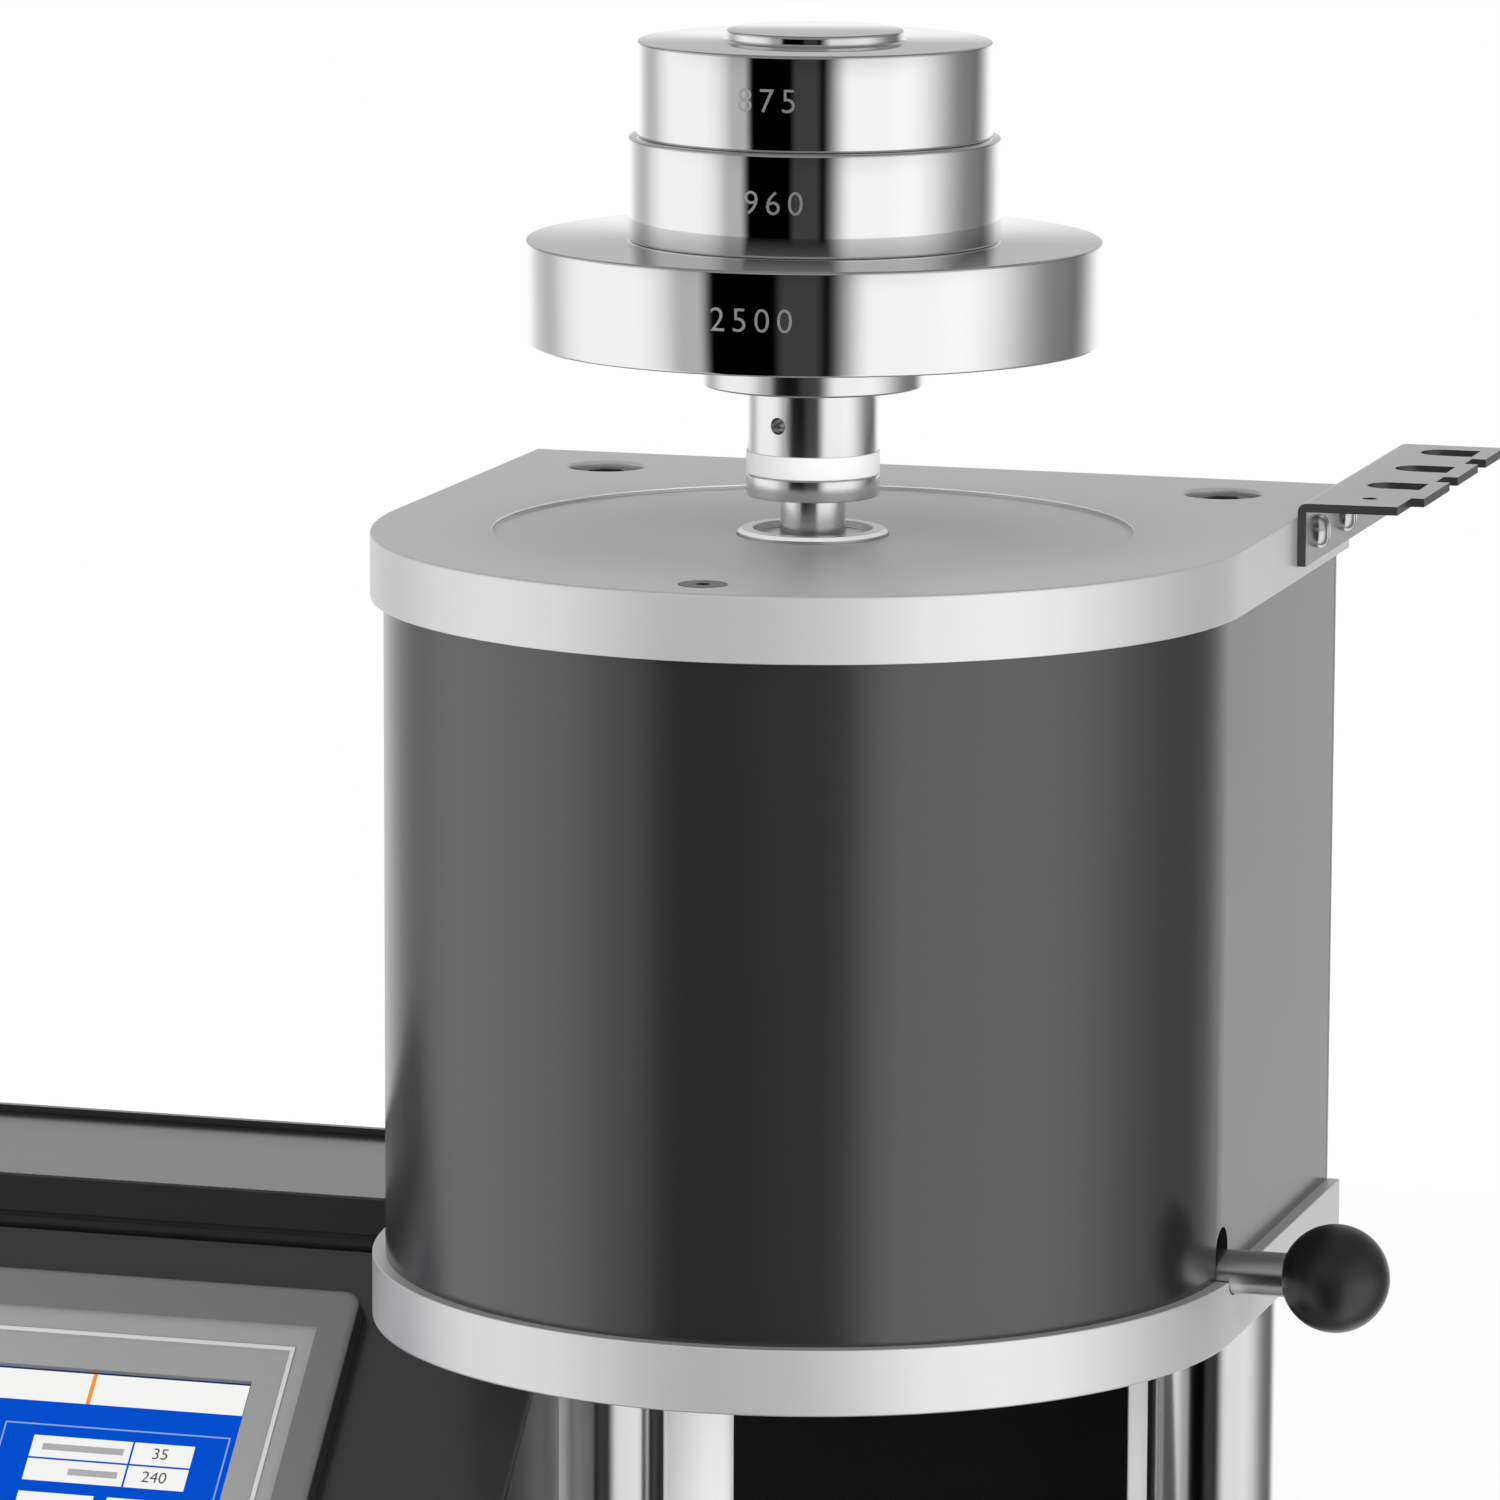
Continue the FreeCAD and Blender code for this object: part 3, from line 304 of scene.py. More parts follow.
@dataclass(frozen=True)
class Finish:
    """One surface finish: colour, gloss and the fine relief that it carries.

    Attributes:
        name: Name of the material.
        slot: Slot of the record that the finish belongs to; not used by this script.
        colour: Linear base colour.
        roughness: Mean roughness.
        metallic: 1 for bare metal, 0 for paint and plastic.
        grain: Kind of fine relief.
        grain_size: Size of the relief's features in metres.
        grain_depth: Height of the relief in metres.
        spread: How far the colour varies.
        rough_spread: How far the roughness varies.
        ior: Index of refraction of paint and plastic.
        coat: Weight of a clear coat.
        coat_roughness: Roughness of the clear coat.
        anisotropy: Stretch of the highlights across turned or drawn lines.
        glow: Linear colour that the surface gives out by itself.
        centre: Point of the axis that turned lines run about.
        stretch: How often drawn lines change along each axis, per metre.
        transmission: 1 for clear glass.
    """

    name: str
    slot: str
    colour: Triple
    roughness: float
    metallic: float = 0.0
    grain: Grain = Grain.MOULDED
    grain_size: float = 0.0004
    grain_depth: float = 0.0
    spread: float = 0.04
    rough_spread: float = 0.06
    ior: float = 1.5
    coat: float = 0.0
    coat_roughness: float = 0.05
    anisotropy: float = 0.0
    glow: Triple | None = None
    centre: Triple = (0.0, 0.0, 0.0)
    stretch: Triple = (2500.0, 90.0, 2500.0)
    transmission: float = 0.0

    def build(self, effects: Effects) -> bpy.types.Material:
        """Make the material.

        Args:
            effects: Shared shader groups.

        Returns:
            The material.
        """
        material = bpy.data.materials.new(self.name)
        material.use_nodes = True
        material.diffuse_color = (*self.colour, 1.0)
        sheet = NodeSheet(material.node_tree)
        place = sheet.add("ShaderNodeTexCoord").outputs["Object"]
        tone = sheet.add("ShaderNodeGroup", {
            "Vector": place, "Colour": (*self.colour, 1.0), "Spread": self.spread,
            "Roughness": self.roughness, "Rough Spread": self.rough_spread}, node_tree=effects.tone)
        inputs = {"Base Color": tone.outputs["Colour"], "Roughness": tone.outputs["Roughness"],
                  "Metallic": self.metallic, "IOR": self.ior, "Coat Weight": self.coat,
                  "Coat Roughness": self.coat_roughness, "Anisotropic": self.anisotropy,
                  "Transmission Weight": self.transmission}
        if self.glow is not None:
            inputs |= {"Emission Color": (*self.glow, 1.0), "Emission Strength": 1.0}
        if self.grain_depth > 0.0:
            height = self._relief(sheet, effects, place).outputs["Height"]
            inputs["Normal"] = sheet.add("ShaderNodeBump", {"Distance": self.grain_depth, "Strength": 1.0,
                                                            "Height": height}).outputs[0]
        shader = sheet.add("ShaderNodeBsdfPrincipled", inputs)
        sheet.add("ShaderNodeOutputMaterial", {"Surface": shader.outputs[0]})
        return material

    def _relief(self, sheet: NodeSheet, effects: Effects, place: bpy.types.NodeSocket) -> bpy.types.Node:
        """Place the relief group that fits the grain.

        Args:
            sheet: Sheet of the material.
            effects: Shared shader groups.
            place: Object coordinates.

        Returns:
            The group node, whose outputs are Height and Mask.
        """
        if self.grain is Grain.LATHE:
            moved = sheet.add("ShaderNodeVectorMath", {0: place, 1: self.centre}, operation="SUBTRACT")
            group, inputs = effects.lathe, {"Vector": moved.outputs[0], "Pitch": self.grain_size}
        elif self.grain is Grain.DRAWN:
            group, inputs = effects.drawn, {"Vector": place, "Stretch": self.stretch}
        else:
            softness = 0.7 if self.grain is Grain.POWDER else 0.5
            group, inputs = effects.relief, {"Vector": place, "Size": self.grain_size, "Softness": softness}
        return sheet.add("ShaderNodeGroup", inputs, node_tree=group)


def finishes(axis: Vector) -> dict[str, Finish]:
    """All finishes of the tester.

    Args:
        axis: A point on the barrel's axis, about which turned pieces were made.

    Returns:
        Finish by name.
    """
    centre = (axis.x, axis.y, 0.0)
    listed = [
        Finish("satin_anodised", "satin_aluminium", (0.64, 0.64, 0.64), 0.40, 0.72, Grain.BEAD_BLAST,
               0.00022, 0.000004, 0.03, 0.04),
        # Painted highlight: a pale, nearly matt metal that brightens the top plate's recess edge and the
        # barrel's rim.
        Finish("rim_painted_highlight", "satin_aluminium", (0.86, 0.86, 0.86), 0.42, 0.2, Grain.BEAD_BLAST,
               0.0003, 0.000002, 0.03, 0.04),
        Finish("polished_weight", "polished_steel", (0.80, 0.797, 0.795), 0.045, 1.0, Grain.LATHE,
               0.00025, 0.0000003, 0.02, 0.01, anisotropy=0.2, centre=centre),
        Finish("chrome_column", "polished_steel", (0.63, 0.63, 0.635), 0.15, 1.0, Grain.BEAD_BLAST,
               0.0006, 0.0000006, 0.02, 0.03),
        Finish("turned_steel", "turned_steel", (0.78, 0.777, 0.775), 0.17, 1.0, Grain.LATHE,
               0.00022, 0.0000012, 0.04, 0.04, anisotropy=0.3, centre=centre),
        Finish("satin_rod", "polished_steel", (0.80, 0.80, 0.80), 0.26, 1.0, Grain.BEAD_BLAST,
               0.0003, 0.000001, 0.03, 0.05),
        Finish("rolled_steel", "plain_steel", (0.60, 0.60, 0.60), 0.24, 1.0, Grain.DRAWN,
               0.0003, 0.000002, 0.06, 0.08),
        # A darker copy of rolled_steel: painted shade on the tool rack's broad side walls.
        Finish("rolled_steel_painted_shade", "plain_steel", (0.30, 0.30, 0.30), 0.3, 1.0, Grain.DRAWN,
               0.0003, 0.000002, 0.06, 0.08),
        Finish("cut_steel_edge", "plain_steel", (0.11, 0.11, 0.112), 0.5, 0.9, Grain.BEAD_BLAST,
               0.0003, 0.000006, 0.1, 0.1),
        Finish("bright_screw", "plain_steel", (0.62, 0.62, 0.62), 0.2, 1.0, Grain.BEAD_BLAST,
               0.0003, 0.000001, 0.05, 0.1),
        Finish("dark_screw", "plain_steel", (0.10, 0.10, 0.105), 0.35, 0.8, Grain.BEAD_BLAST,
               0.0003, 0.000002, 0.05, 0.1),
        Finish("stamped_mark", "polished_steel", (0.85, 0.85, 0.85), 0.55, 1.0, Grain.BEAD_BLAST,
               0.0003, 0.00002, 0.1, 0.1),
        Finish("machined_bronze", "bronze", (0.62, 0.43, 0.2), 0.28, 1.0, Grain.LATHE,
               0.0003, 0.000002, 0.06, 0.08, centre=centre),
        Finish("furnace_enamel", "furnace_paint", (0.012, 0.012, 0.0125), 0.22, 0.0, Grain.POWDER,
               0.0011, 0.0000012, 0.05, 0.03, ior=1.85),
        Finish("charcoal_coat", "painted_shell", (0.012, 0.012, 0.0128), 0.24, 0.0, Grain.POWDER,
               0.0006, 0.000003, 0.05, 0.04, ior=1.9, coat=0.6, coat_roughness=0.16),
        # Partly painted light: a pale coat for the walls beside the left column, made light so that the
        # column mirrors a bright stripe.
        Finish("pale_coat_painted_light", "painted_shell", (0.86, 0.86, 0.855), 0.4, 0.0, Grain.POWDER,
               0.0006, 0.000008, 0.05, 0.05),
        Finish("pale_panel", "light_paint", (0.86, 0.86, 0.855), 0.4, 0.0, Grain.POWDER,
               0.0006, 0.00001, 0.02, 0.05),
        Finish("black_window_film", "black_plastic", (0.006, 0.006, 0.006), 0.12, 0.0, Grain.MOULDED,
               0.0008, 0.000001, 0.02, 0.03, ior=1.35),
        Finish("ball_plastic", "black_plastic", (0.006, 0.006, 0.006), 0.34, 0.0, Grain.MOULDED,
               0.0005, 0.000003, 0.03, 0.05, ior=1.6),
        Finish("moulded_black", "black_plastic", (0.02, 0.02, 0.021), 0.45, 0.0, Grain.MOULDED,
               0.0004, 0.000008, 0.04, 0.06),
        Finish("gloss_black", "glossy_black", (0.012, 0.012, 0.012), 0.15, 0.0, Grain.MOULDED,
               0.0004, 0.000001, 0.02, 0.03),
        Finish("bezel_dark_grey", "grey_plastic", (0.10, 0.10, 0.102), 0.48, 0.0, Grain.MOULDED,
               0.0004, 0.000008, 0.03, 0.05),
        Finish("bezel_light_grey", "grey_plastic", (0.205, 0.205, 0.207), 0.45, 0.0, Grain.MOULDED,
               0.0004, 0.000006, 0.03, 0.05),
        # Painted highlight: a lighter grey for the bezel's ridge and the sloped faces inside its ledge.
        Finish("bezel_painted_highlight", "grey_plastic", (0.40, 0.40, 0.402), 0.4, 0.0, Grain.MOULDED,
               0.0004, 0.000004, 0.03, 0.05),
        Finish("foot_rubber", "rubber", (0.02, 0.02, 0.02), 0.7, 0.0, Grain.MOULDED,
               0.0005, 0.00002, 0.05, 0.05),
        Finish("circuit_board", "board", (0.02, 0.12, 0.05), 0.4, 0.0, Grain.MOULDED,
               0.0012, 0.00001, 0.1, 0.05),
        Finish("fluoropolymer", "white_insulator", (0.74, 0.74, 0.735), 0.38, 0.0, Grain.LATHE,
               0.0003, 0.000004, 0.02, 0.05, centre=centre),
        Finish("mineral_wool", "mineral_wool", (0.62, 0.6, 0.5), 0.95, 0.0, Grain.BEAD_BLAST,
               0.0012, 0.0004, 0.2, 0.0),
        Finish("level_fluid", "vial_glass", (0.55, 0.85, 0.12), 0.08, transmission=0.4),
        Finish("level_air", "vial_glass", (0.85, 0.95, 0.6), 0.05),
        Finish("screen_black", "screen_glass", (0.002, 0.004, 0.01), 0.12, coat=0.5, coat_roughness=0.08,
               glow=(0.0, 0.012, 0.11)),
        Finish("screen_orange", "screen_glass", (0.05, 0.02, 0.0), 0.25, glow=(0.85, 0.25, 0.02)),
    ]
    glows = {"screen_blue": (0.0005, 0.075, 0.6), "screen_white": (0.9, 0.9, 0.89),
             "screen_ink": (0.09, 0.09, 0.1), "screen_line": (0.25, 0.38, 0.8),
             "screen_bar": (0.42, 0.42, 0.43)}
    listed += [Finish(name, "screen_glass", (0.0, 0.0, 0.0), 0.3, ior=1.1, glow=glow)
               for name, glow in glows.items()]
    return {finish.name: finish for finish in listed}


class Paintbox:
    """Finishes and the materials made from them."""

    def __init__(self, axis: Vector) -> None:
        """Build every material.

        Args:
            axis: A point on the barrel's axis.
        """
        effects = Effects()
        self.finish = finishes(axis)
        self.material = {name: finish.build(effects) for name, finish in self.finish.items()}

    def dress(self, piece: bpy.types.Object, name: str) -> None:
        """Give a piece one finish.

        Args:
            piece: The piece.
            name: Name of the finish.
        """
        piece.data.materials.clear()
        piece.data.materials.append(self.material[name])

    def touch_up(self, piece: bpy.types.Object, name: str, faces: Iterable[int]) -> None:
        """Give some faces of a dressed piece a finish of their own.

        Args:
            piece: The piece.
            name: Name of the finish.
            faces: Indices of the faces.
        """
        piece.data.materials.append(self.material[name])
        for index in faces:
            piece.data.polygons[index].material_index = len(piece.data.materials) - 1


def link(name: str, data: bpy.types.ID) -> bpy.types.Object:
    """Make an object at the origin and put it into the scene.

    Args:
        name: Name of the object.
        data: Its mesh, curve, light or camera.

    Returns:
        The object.
    """
    piece = bpy.data.objects.new(name, data)
    bpy.context.scene.collection.objects.link(piece)
    return piece


def soften(bm: bmesh.types.BMesh, degrees: float) -> None:
    """Shade smooth, with sharp edges wherever two faces meet at more than an angle.

    Args:
        bm: Mesh to mark.
        degrees: The angle.
    """
    limit = math.radians(degrees)
    for face in bm.faces:
        face.smooth = True
    for edge in bm.edges:
        edge.smooth = len(edge.link_faces) == 2 and edge.calc_face_angle(0.0) < limit


def to_mesh(bm: bmesh.types.BMesh, name: str, degrees: float = SHARP) -> bpy.types.Mesh:
    """Turn a bmesh into a mesh with marked edges, and free it.

    Args:
        bm: The bmesh.
        name: Name of the mesh.
        degrees: Angle above which an edge stays sharp.

    Returns:
        The mesh.
    """
    soften(bm, degrees)
    mesh = bpy.data.meshes.new(name)
    bm.to_mesh(mesh)
    bm.free()
    return mesh


def bake_modifiers(piece: bpy.types.Object) -> None:
    """Turn a piece's modifiers into plain mesh.

    Args:
        piece: The piece.
    """
    graph = bpy.context.evaluated_depsgraph_get()
    graph.update()
    mesh = bpy.data.meshes.new_from_object(piece.evaluated_get(graph))
    piece.modifiers.clear()
    old = piece.data
    piece.data = mesh
    bpy.data.meshes.remove(old)


def bevelled(piece: bpy.types.Object, width: float, segments: int = 2) -> None:
    """Round the sharp edges of a piece a little, as every real edge is.

    Args:
        piece: The piece.
        width: Width of the rounding in metres.
        segments: Number of faces across it.
    """
    bevel = piece.modifiers.new("edge_rounding", "BEVEL")
    bevel.width = width
    bevel.segments = segments
    bevel.limit_method = "ANGLE"
    bevel.angle_limit = math.radians(SHARP)
    bevel.harden_normals = True
    bevel.use_clamp_overlap = True
    bake_modifiers(piece)


def cut_out(piece: bpy.types.Object, shape: bmesh.types.BMesh) -> None:
    """Cut a shape out of a piece and free the shape.

    Args:
        piece: The piece.
        shape: The closed shape.
    """
    tool = link(piece.name + "_tool", to_mesh(shape, piece.name + "_tool"))
    cut = piece.modifiers.new("recess", "BOOLEAN")
    cut.operation = "DIFFERENCE"
    cut.object = tool
    cut.solver = "EXACT"
    cut.use_self = True
    bake_modifiers(piece)
    bpy.data.objects.remove(tool)


def rounded_profile(points: Sequence[tuple[float, float]], radius: float) -> list[tuple[float, float]]:
    """Round the inner corners of an open half profile.

    Args:
        points: Radius and height of each corner; the first and last stay as they are.
        radius: Rounding radius in metres.

    Returns:
        The rounded profile.
    """
    steps = 4
    rounded = [points[0]]
    for before, here, after in zip(points, points[1:], points[2:]):
        a, b, c = Vector(before), Vector(here), Vector(after)
        reach = min(radius, (a - b).length * LONGEST_REACH, (c - b).length * LONGEST_REACH)
        start = b + (a - b).normalized() * reach
        end = b + (c - b).normalized() * reach
        for i in range(steps + 1):
            t = i / steps
            mixed = start * (1 - t) ** 2 + b * 2 * t * (1 - t) + end * t ** 2
            rounded.append((mixed.x, mixed.y))
    rounded.append(points[-1])
    return rounded


def lathe(name: str, profile: Sequence[tuple[float, float]], axis: Vector, segments: int) -> bpy.types.Object:
    """Turn an open or closed half profile about a vertical axis.

    Args:
        name: Name of the piece.
        profile: Radius and height of each point, bottom to top on the outside.
        axis: A point on the axis.
        segments: Number of steps round.

    Returns:
        The piece, with closed poles and faces pointing outwards.
    """
    bm = bmesh.new()
    rings = []
    turns = [2 * math.pi * i / segments for i in range(segments)]
    for radius, z in profile:
        steps = turns if radius > ON_AXIS else turns[:1]
        rings.append([bm.verts.new((axis.x + radius * math.cos(t), axis.y + radius * math.sin(t), z))
                      for t in steps])
    for lower, upper in zip(rings, rings[1:]):
        for i in range(segments):
            j = i + 1
            corners = [lower[i % len(lower)], lower[j % len(lower)],
                       upper[j % len(upper)], upper[i % len(upper)]]
            unique = list(dict.fromkeys(corners))
            if len(unique) > 2:
                bm.faces.new(unique)
    bmesh.ops.recalc_face_normals(bm, faces=bm.faces)
    return link(name, to_mesh(bm, name, TURNED_SHARP))


def text_mesh(name: str, text: str, size: float, **settings: object) -> bpy.types.Mesh:
    """Mesh of a few figures about the origin, in Blender's own font.

    Args:
        name: Name of the curve that it is made from.
        text: The figures.
        size: Size of the font.
        settings: Other properties of the curve.

    Returns:
        The mesh.
    """
    curve = bpy.data.curves.new(name, "FONT")
    curve.body = text
    curve.size = size
    curve.align_x = "CENTER"
    curve.align_y = "CENTER"
    for key, value in settings.items():
        setattr(curve, key, value)
    source = link(name, curve)
    mesh = bpy.data.meshes.new_from_object(source.evaluated_get(bpy.context.evaluated_depsgraph_get()))
    bpy.data.objects.remove(source)
    return mesh


@dataclass
class Assembly:
    """What every sub-assembly works with.

    Attributes:
        axis: A point on the barrel's axis.
        paint: Materials.
    """

    axis: Vector
    paint: Paintbox

    def place(self, piece: bpy.types.Object, finish: str, body: str = "frame",
              nodes: Iterable[str] = ()) -> bpy.types.Object:
        """Dress a piece, put it on its body and let it stand for CAD nodes.

        Args:
            piece: The piece.
            finish: Name of its finish.
            body: Body that it rides on.
            nodes: CAD nodes that it stands for.

        Returns:
            The piece.
        """
        self.paint.dress(piece, finish)
        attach(piece, body)
        for node in nodes:
            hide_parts(node)
        log.info("made %s", piece.name)
        return piece

    def refine(self, node: str, finish: str, width: float = 0.0, segments: int = 2,
               body: str = "frame") -> bpy.types.Object:
        """Stand a finer copy in a CAD node's place: merged, with true normals and rounded edges.

        Args:
            node: The CAD node.
            finish: Name of its finish.
            width: Width of the edge rounding in metres, or 0 for none.
            segments: Number of faces across the rounding.
            body: Body that it rides on.

        Returns:
            The new piece.
        """
        bm = bmesh.new()
        bm.from_mesh(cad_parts[node].data)
        bmesh.ops.remove_doubles(bm, verts=bm.verts, dist=MERGE_DISTANCE)
        bmesh.ops.dissolve_limit(bm, angle_limit=math.radians(FLAT_ANGLE), verts=bm.verts, edges=bm.edges)
        piece = link("fine_" + node, to_mesh(bm, "fine_" + node))
        if width > 0.0:
            bevelled(piece, width, segments)
        return self.place(piece, finish, body, [node])

    def refine_all(self, rows: Iterable[tuple]) -> dict[str, bpy.types.Object]:
        """Refine several CAD nodes.

        Args:
            rows: The arguments of refine for each node.

        Returns:
            New piece by node.
        """
        return {row[0]: self.refine(*row) for row in rows}


@dataclass
class PistonStack(Assembly):
    """Piston head, rings and the three weights on it.

    Attributes:
        edge: Rounding of the weights' edges.
        ring_edge: Rounding of the collar, the ring and the sleeve.
        boss_radius: Radius of the boss on each weight.
        boss_height: Height of the boss.
        recess_gap: Room round and over the boss in the weight above.
        number_size: Size of the stamped figures.
        number_relief: How far the stamped outlines stand out.
        number_rise: Height of a number's middle over the middle of its weight.
    """

    RINGS: ClassVar = (("piston_collar", "turned_steel"), ("insulating_ring", "fluoropolymer"),
                       ("guide_sleeve", "turned_steel"))
    WEIGHTS: ClassVar = (("weight_2500", "large_weight", 3.7), ("weight_960", "middle_weight", 3.4),
                         ("weight_875", "small_weight", 0.5))
    edge: float = 0.0007
    ring_edge: float = 0.0004
    boss_radius: float = 0.020
    boss_height: float = 0.0025
    recess_gap: float = 0.0003
    number_size: float = 0.0068 * 1.12
    number_relief: float = 0.00006
    number_rise: float = 0.0005

    def build(self) -> None:
        """Make the piston's visible pieces and the weights."""
        for node, finish in self.RINGS:
            box = node_box(node)
            radius = box.size.x / 2
            outline = [(0.0, box.low.z), (radius, box.low.z), (radius, box.high.z), (0.0, box.high.z)]
            piece = lathe("turned_" + node, rounded_profile(outline, self.ring_edge), self.axis, 128)
            self.place(piece, finish, "piston", [node])
        self.refine("piston_head", "turned_steel", 0.0002, 2, "piston")
        for node, body, azimuth in self.WEIGHTS:
            self._weight(node, body, azimuth)

    def _weight(self, node: str, body: str, azimuth: float) -> None:
        """Turn one weight and stamp its number.

        Args:
            node: CAD node of the weight.
            body: Body that it rides on.
            azimuth: Turn of the number's middle from the front, towards +X, in degrees.
        """
        box = node_box(node)
        low = box.low.z
        top = box.high.z - self.boss_height
        radius = box.size.x / 2
        recess = self.boss_radius + self.recess_gap
        roof = low + self.boss_height + self.recess_gap
        outline = [(0.0, roof), (recess, roof), (recess, low), (radius, low), (radius, top),
                   (self.boss_radius, top), (self.boss_radius, box.high.z), (0.0, box.high.z)]
        piece = lathe("turned_" + node, rounded_profile(outline, self.edge), self.axis, 256)
        self.place(piece, "polished_weight", body, [node])
        self._stamp(node.split("_")[1], radius, azimuth, (low + top) / 2 + self.number_rise, body)

    def _stamp(self, text: str, radius: float, azimuth: float, z: float, body: str) -> None:
        """Bend a plain number round a weight's side.

        Args:
            text: The number.
            radius: Radius of the side.
            azimuth: Turn of the number's middle from the front, in degrees.
            z: Height of its middle.
            body: Body that it rides on.
        """
        mesh = text_mesh("number_" + text, text, self.number_size, space_character=1.32, offset=-0.00006,
                         extrude=self.number_relief, resolution_u=4)
        for vertex in mesh.vertices:
            u, v, w = vertex.co
            turn = math.radians(azimuth) + u / radius
            reach = radius + w
            vertex.co = (self.axis.x + reach * math.sin(turn), self.axis.y - reach * math.cos(turn), z + v)
        self.place(link("number_" + text, mesh), "stamped_mark", body)


@dataclass
class Furnace(Assembly):
    """Plates, shell, columns and what shows of the barrel.

    Attributes:
        rim_depth: How deep the bevel of the barrel's rim reaches.
        recess_low: Depth under the top plate at which the edge of its recess ends.
        recess_inner: Radius inside the edge of the recess.
        recess_outer: Radius outside that edge.
    """

    PIECES: ClassVar = (
        ("top_plate", "satin_anodised", 0.0003, 3), ("bottom_plate", "satin_anodised", 0.0003, 3),
        ("furnace_shell", "furnace_enamel", 0.0003), ("furnace_back_cover", "furnace_enamel", 0.0003),
        ("barrel", "satin_rod", 0.0002), ("tie_bolts", "dark_screw", 0.0003),
        ("front_screw", "dark_screw", 0.0002), ("columns", "chrome_column"))
    rim_depth: float = 0.0009
    recess_low: float = 0.00045
    recess_inner: float = 0.0720
    recess_outer: float = 0.0735

    def build(self) -> None:
        """Make the furnace's pieces, with a painted highlight on the sloped edge of the top plate's recess
        and on the barrel's rim: a pale, nearly matt metal there.
        """
        made = self.refine_all(self.PIECES)
        plate, barrel = made["top_plate"], made["barrel"]
        roof = node_box("top_plate").high.z
        rim = node_box("barrel").high.z
        # Painted highlight: the sloped faces of the recess's edge and of the barrel's rim get a pale, nearly
        # matt metal.
        edge = [face.index for face in self._sloped(plate)
                if roof - self.recess_low < face.center.z < roof - 1e-6
                and self.recess_inner < (face.center - self.axis).xy.length < self.recess_outer]
        self.paint.touch_up(plate, "rim_painted_highlight", edge)
        self.paint.touch_up(barrel, "rim_painted_highlight", [face.index for face in self._sloped(barrel)
                                                if face.center.z > rim - self.rim_depth])

    @staticmethod
    def _sloped(piece: bpy.types.Object) -> list[bpy.types.MeshPolygon]:
        """Faces of a piece that look up at a slope.

        Args:
            piece: The piece.

        Returns:
            The faces.
        """
        return [face for face in piece.data.polygons if 0.1 < face.normal.z < 0.95]


@dataclass
class DieLever(Assembly):
    """Rod and ball that pull the die gate.

    Attributes:
        steps: Number of lines along the ball's profile.
    """

    steps: int = 48

    def build(self) -> None:
        """Make the rod, the ball knob and the gate."""
        self.refine("lever_rod", "satin_rod", 0.0006, 3, "die_lever")
        box = node_box("ball_knob")
        radius = box.size.z / 2
        centre = Vector((box.high.x - radius, box.centre.y, box.centre.z))
        rod_radius = node_box("lever_rod").size.z / 2
        first = -math.acos(rod_radius / radius)
        turns = [first + (math.pi / 2 - first) * i / self.steps for i in range(self.steps + 1)]
        profile = [(max(radius * math.cos(turn), 0.0), radius * math.sin(turn)) for turn in turns]
        ball = lathe("moulded_ball", profile, ORIGIN, 96)
        ball.data.transform(Matrix.Translation(centre) @ Matrix.Rotation(math.radians(90.0), 4, "Y"))
        self.place(ball, "ball_plastic", "die_lever", ["ball_knob"])
        self.refine("die_gate", "rolled_steel", 0.0003, 2, "die_lever")


@dataclass
class ToolRack(Assembly):
    """Bent bracket on the top plate's side.

    Attributes:
        wall_height: Least height of a broad wall; a lower face is a cut edge.
    """

    wall_height: float = 0.005

    def build(self) -> None:
        """Make the rack and its screws; the sheet's cut edges are darker than its rolled faces, and its broad
        side walls get a darker copy of the same rolled steel as painted shade.
        """
        rack = self.refine("tool_rack", "rolled_steel")
        faces = rack.data.polygons
        heights = [[rack.data.vertices[i].co.z for i in face.vertices] for face in faces]
        edges = [face.index for face in faces if abs(face.normal.z) < 0.3]
        # Painted shade: the broad walls facing along X get a darker copy of the same rolled steel.
        walls = [face.index for face, z in zip(faces, heights)
                 if abs(face.normal.x) > 0.9 and max(z) - min(z) > self.wall_height]
        self.paint.touch_up(rack, "cut_steel_edge", edges)
        self.paint.touch_up(rack, "rolled_steel_painted_shade", walls)
        bevelled(rack, 0.0002)
        self.refine("rack_screws", "bright_screw", 0.0002)


@dataclass
class StrandCutter(Assembly):
    """Arm, blade, bracket and motor under the furnace."""

    PIECES: ClassVar = (
        ("cutter_arm", "rolled_steel", 0.0003, 2, "cutter"),
        ("cutter_blade", "bright_screw", 0.0, 2, "cutter"),
        ("cutter_bracket", "rolled_steel", 0.0003), ("cutter_motor", "moulded_black", 0.0005))

    def build(self) -> None:
        """Make the cutter's pieces."""
        self.refine_all(self.PIECES)


@dataclass
class Console(Assembly):
    """Sheet console that carries the touch panel.

    Attributes:
        edge: Rounding of the sheets' edges.
        beside: How far left of the bottom plate the walls beside the column start.
        before: How far in front of the column they start.
    """

    edge: float = 0.0006
    beside: float = 0.004
    before: float = 0.03

    def build(self) -> None:
        """Make the console's sheets; the walls beside the left column have a pale coat, partly painted light:
        it is made light so that the left column mirrors a bright stripe.
        """
        made = self.refine_all((node, "charcoal_coat", self.edge, 3)
                               for node in ("console_front", "console_cover", "console_housing"))
        housing = made["console_housing"]
        left = node_box("bottom_plate").low.x - self.beside
        front = node_box("columns").low.y - self.before
        # Partly painted light: these walls are painted pale so that the left column mirrors a bright stripe
        # from them.
        walls = [face.index for face in housing.data.polygons
                 if face.center.x > left and face.center.y > front and max(face.normal.xy) > 0.9]
        self.paint.touch_up(housing, "pale_coat_painted_light", walls)


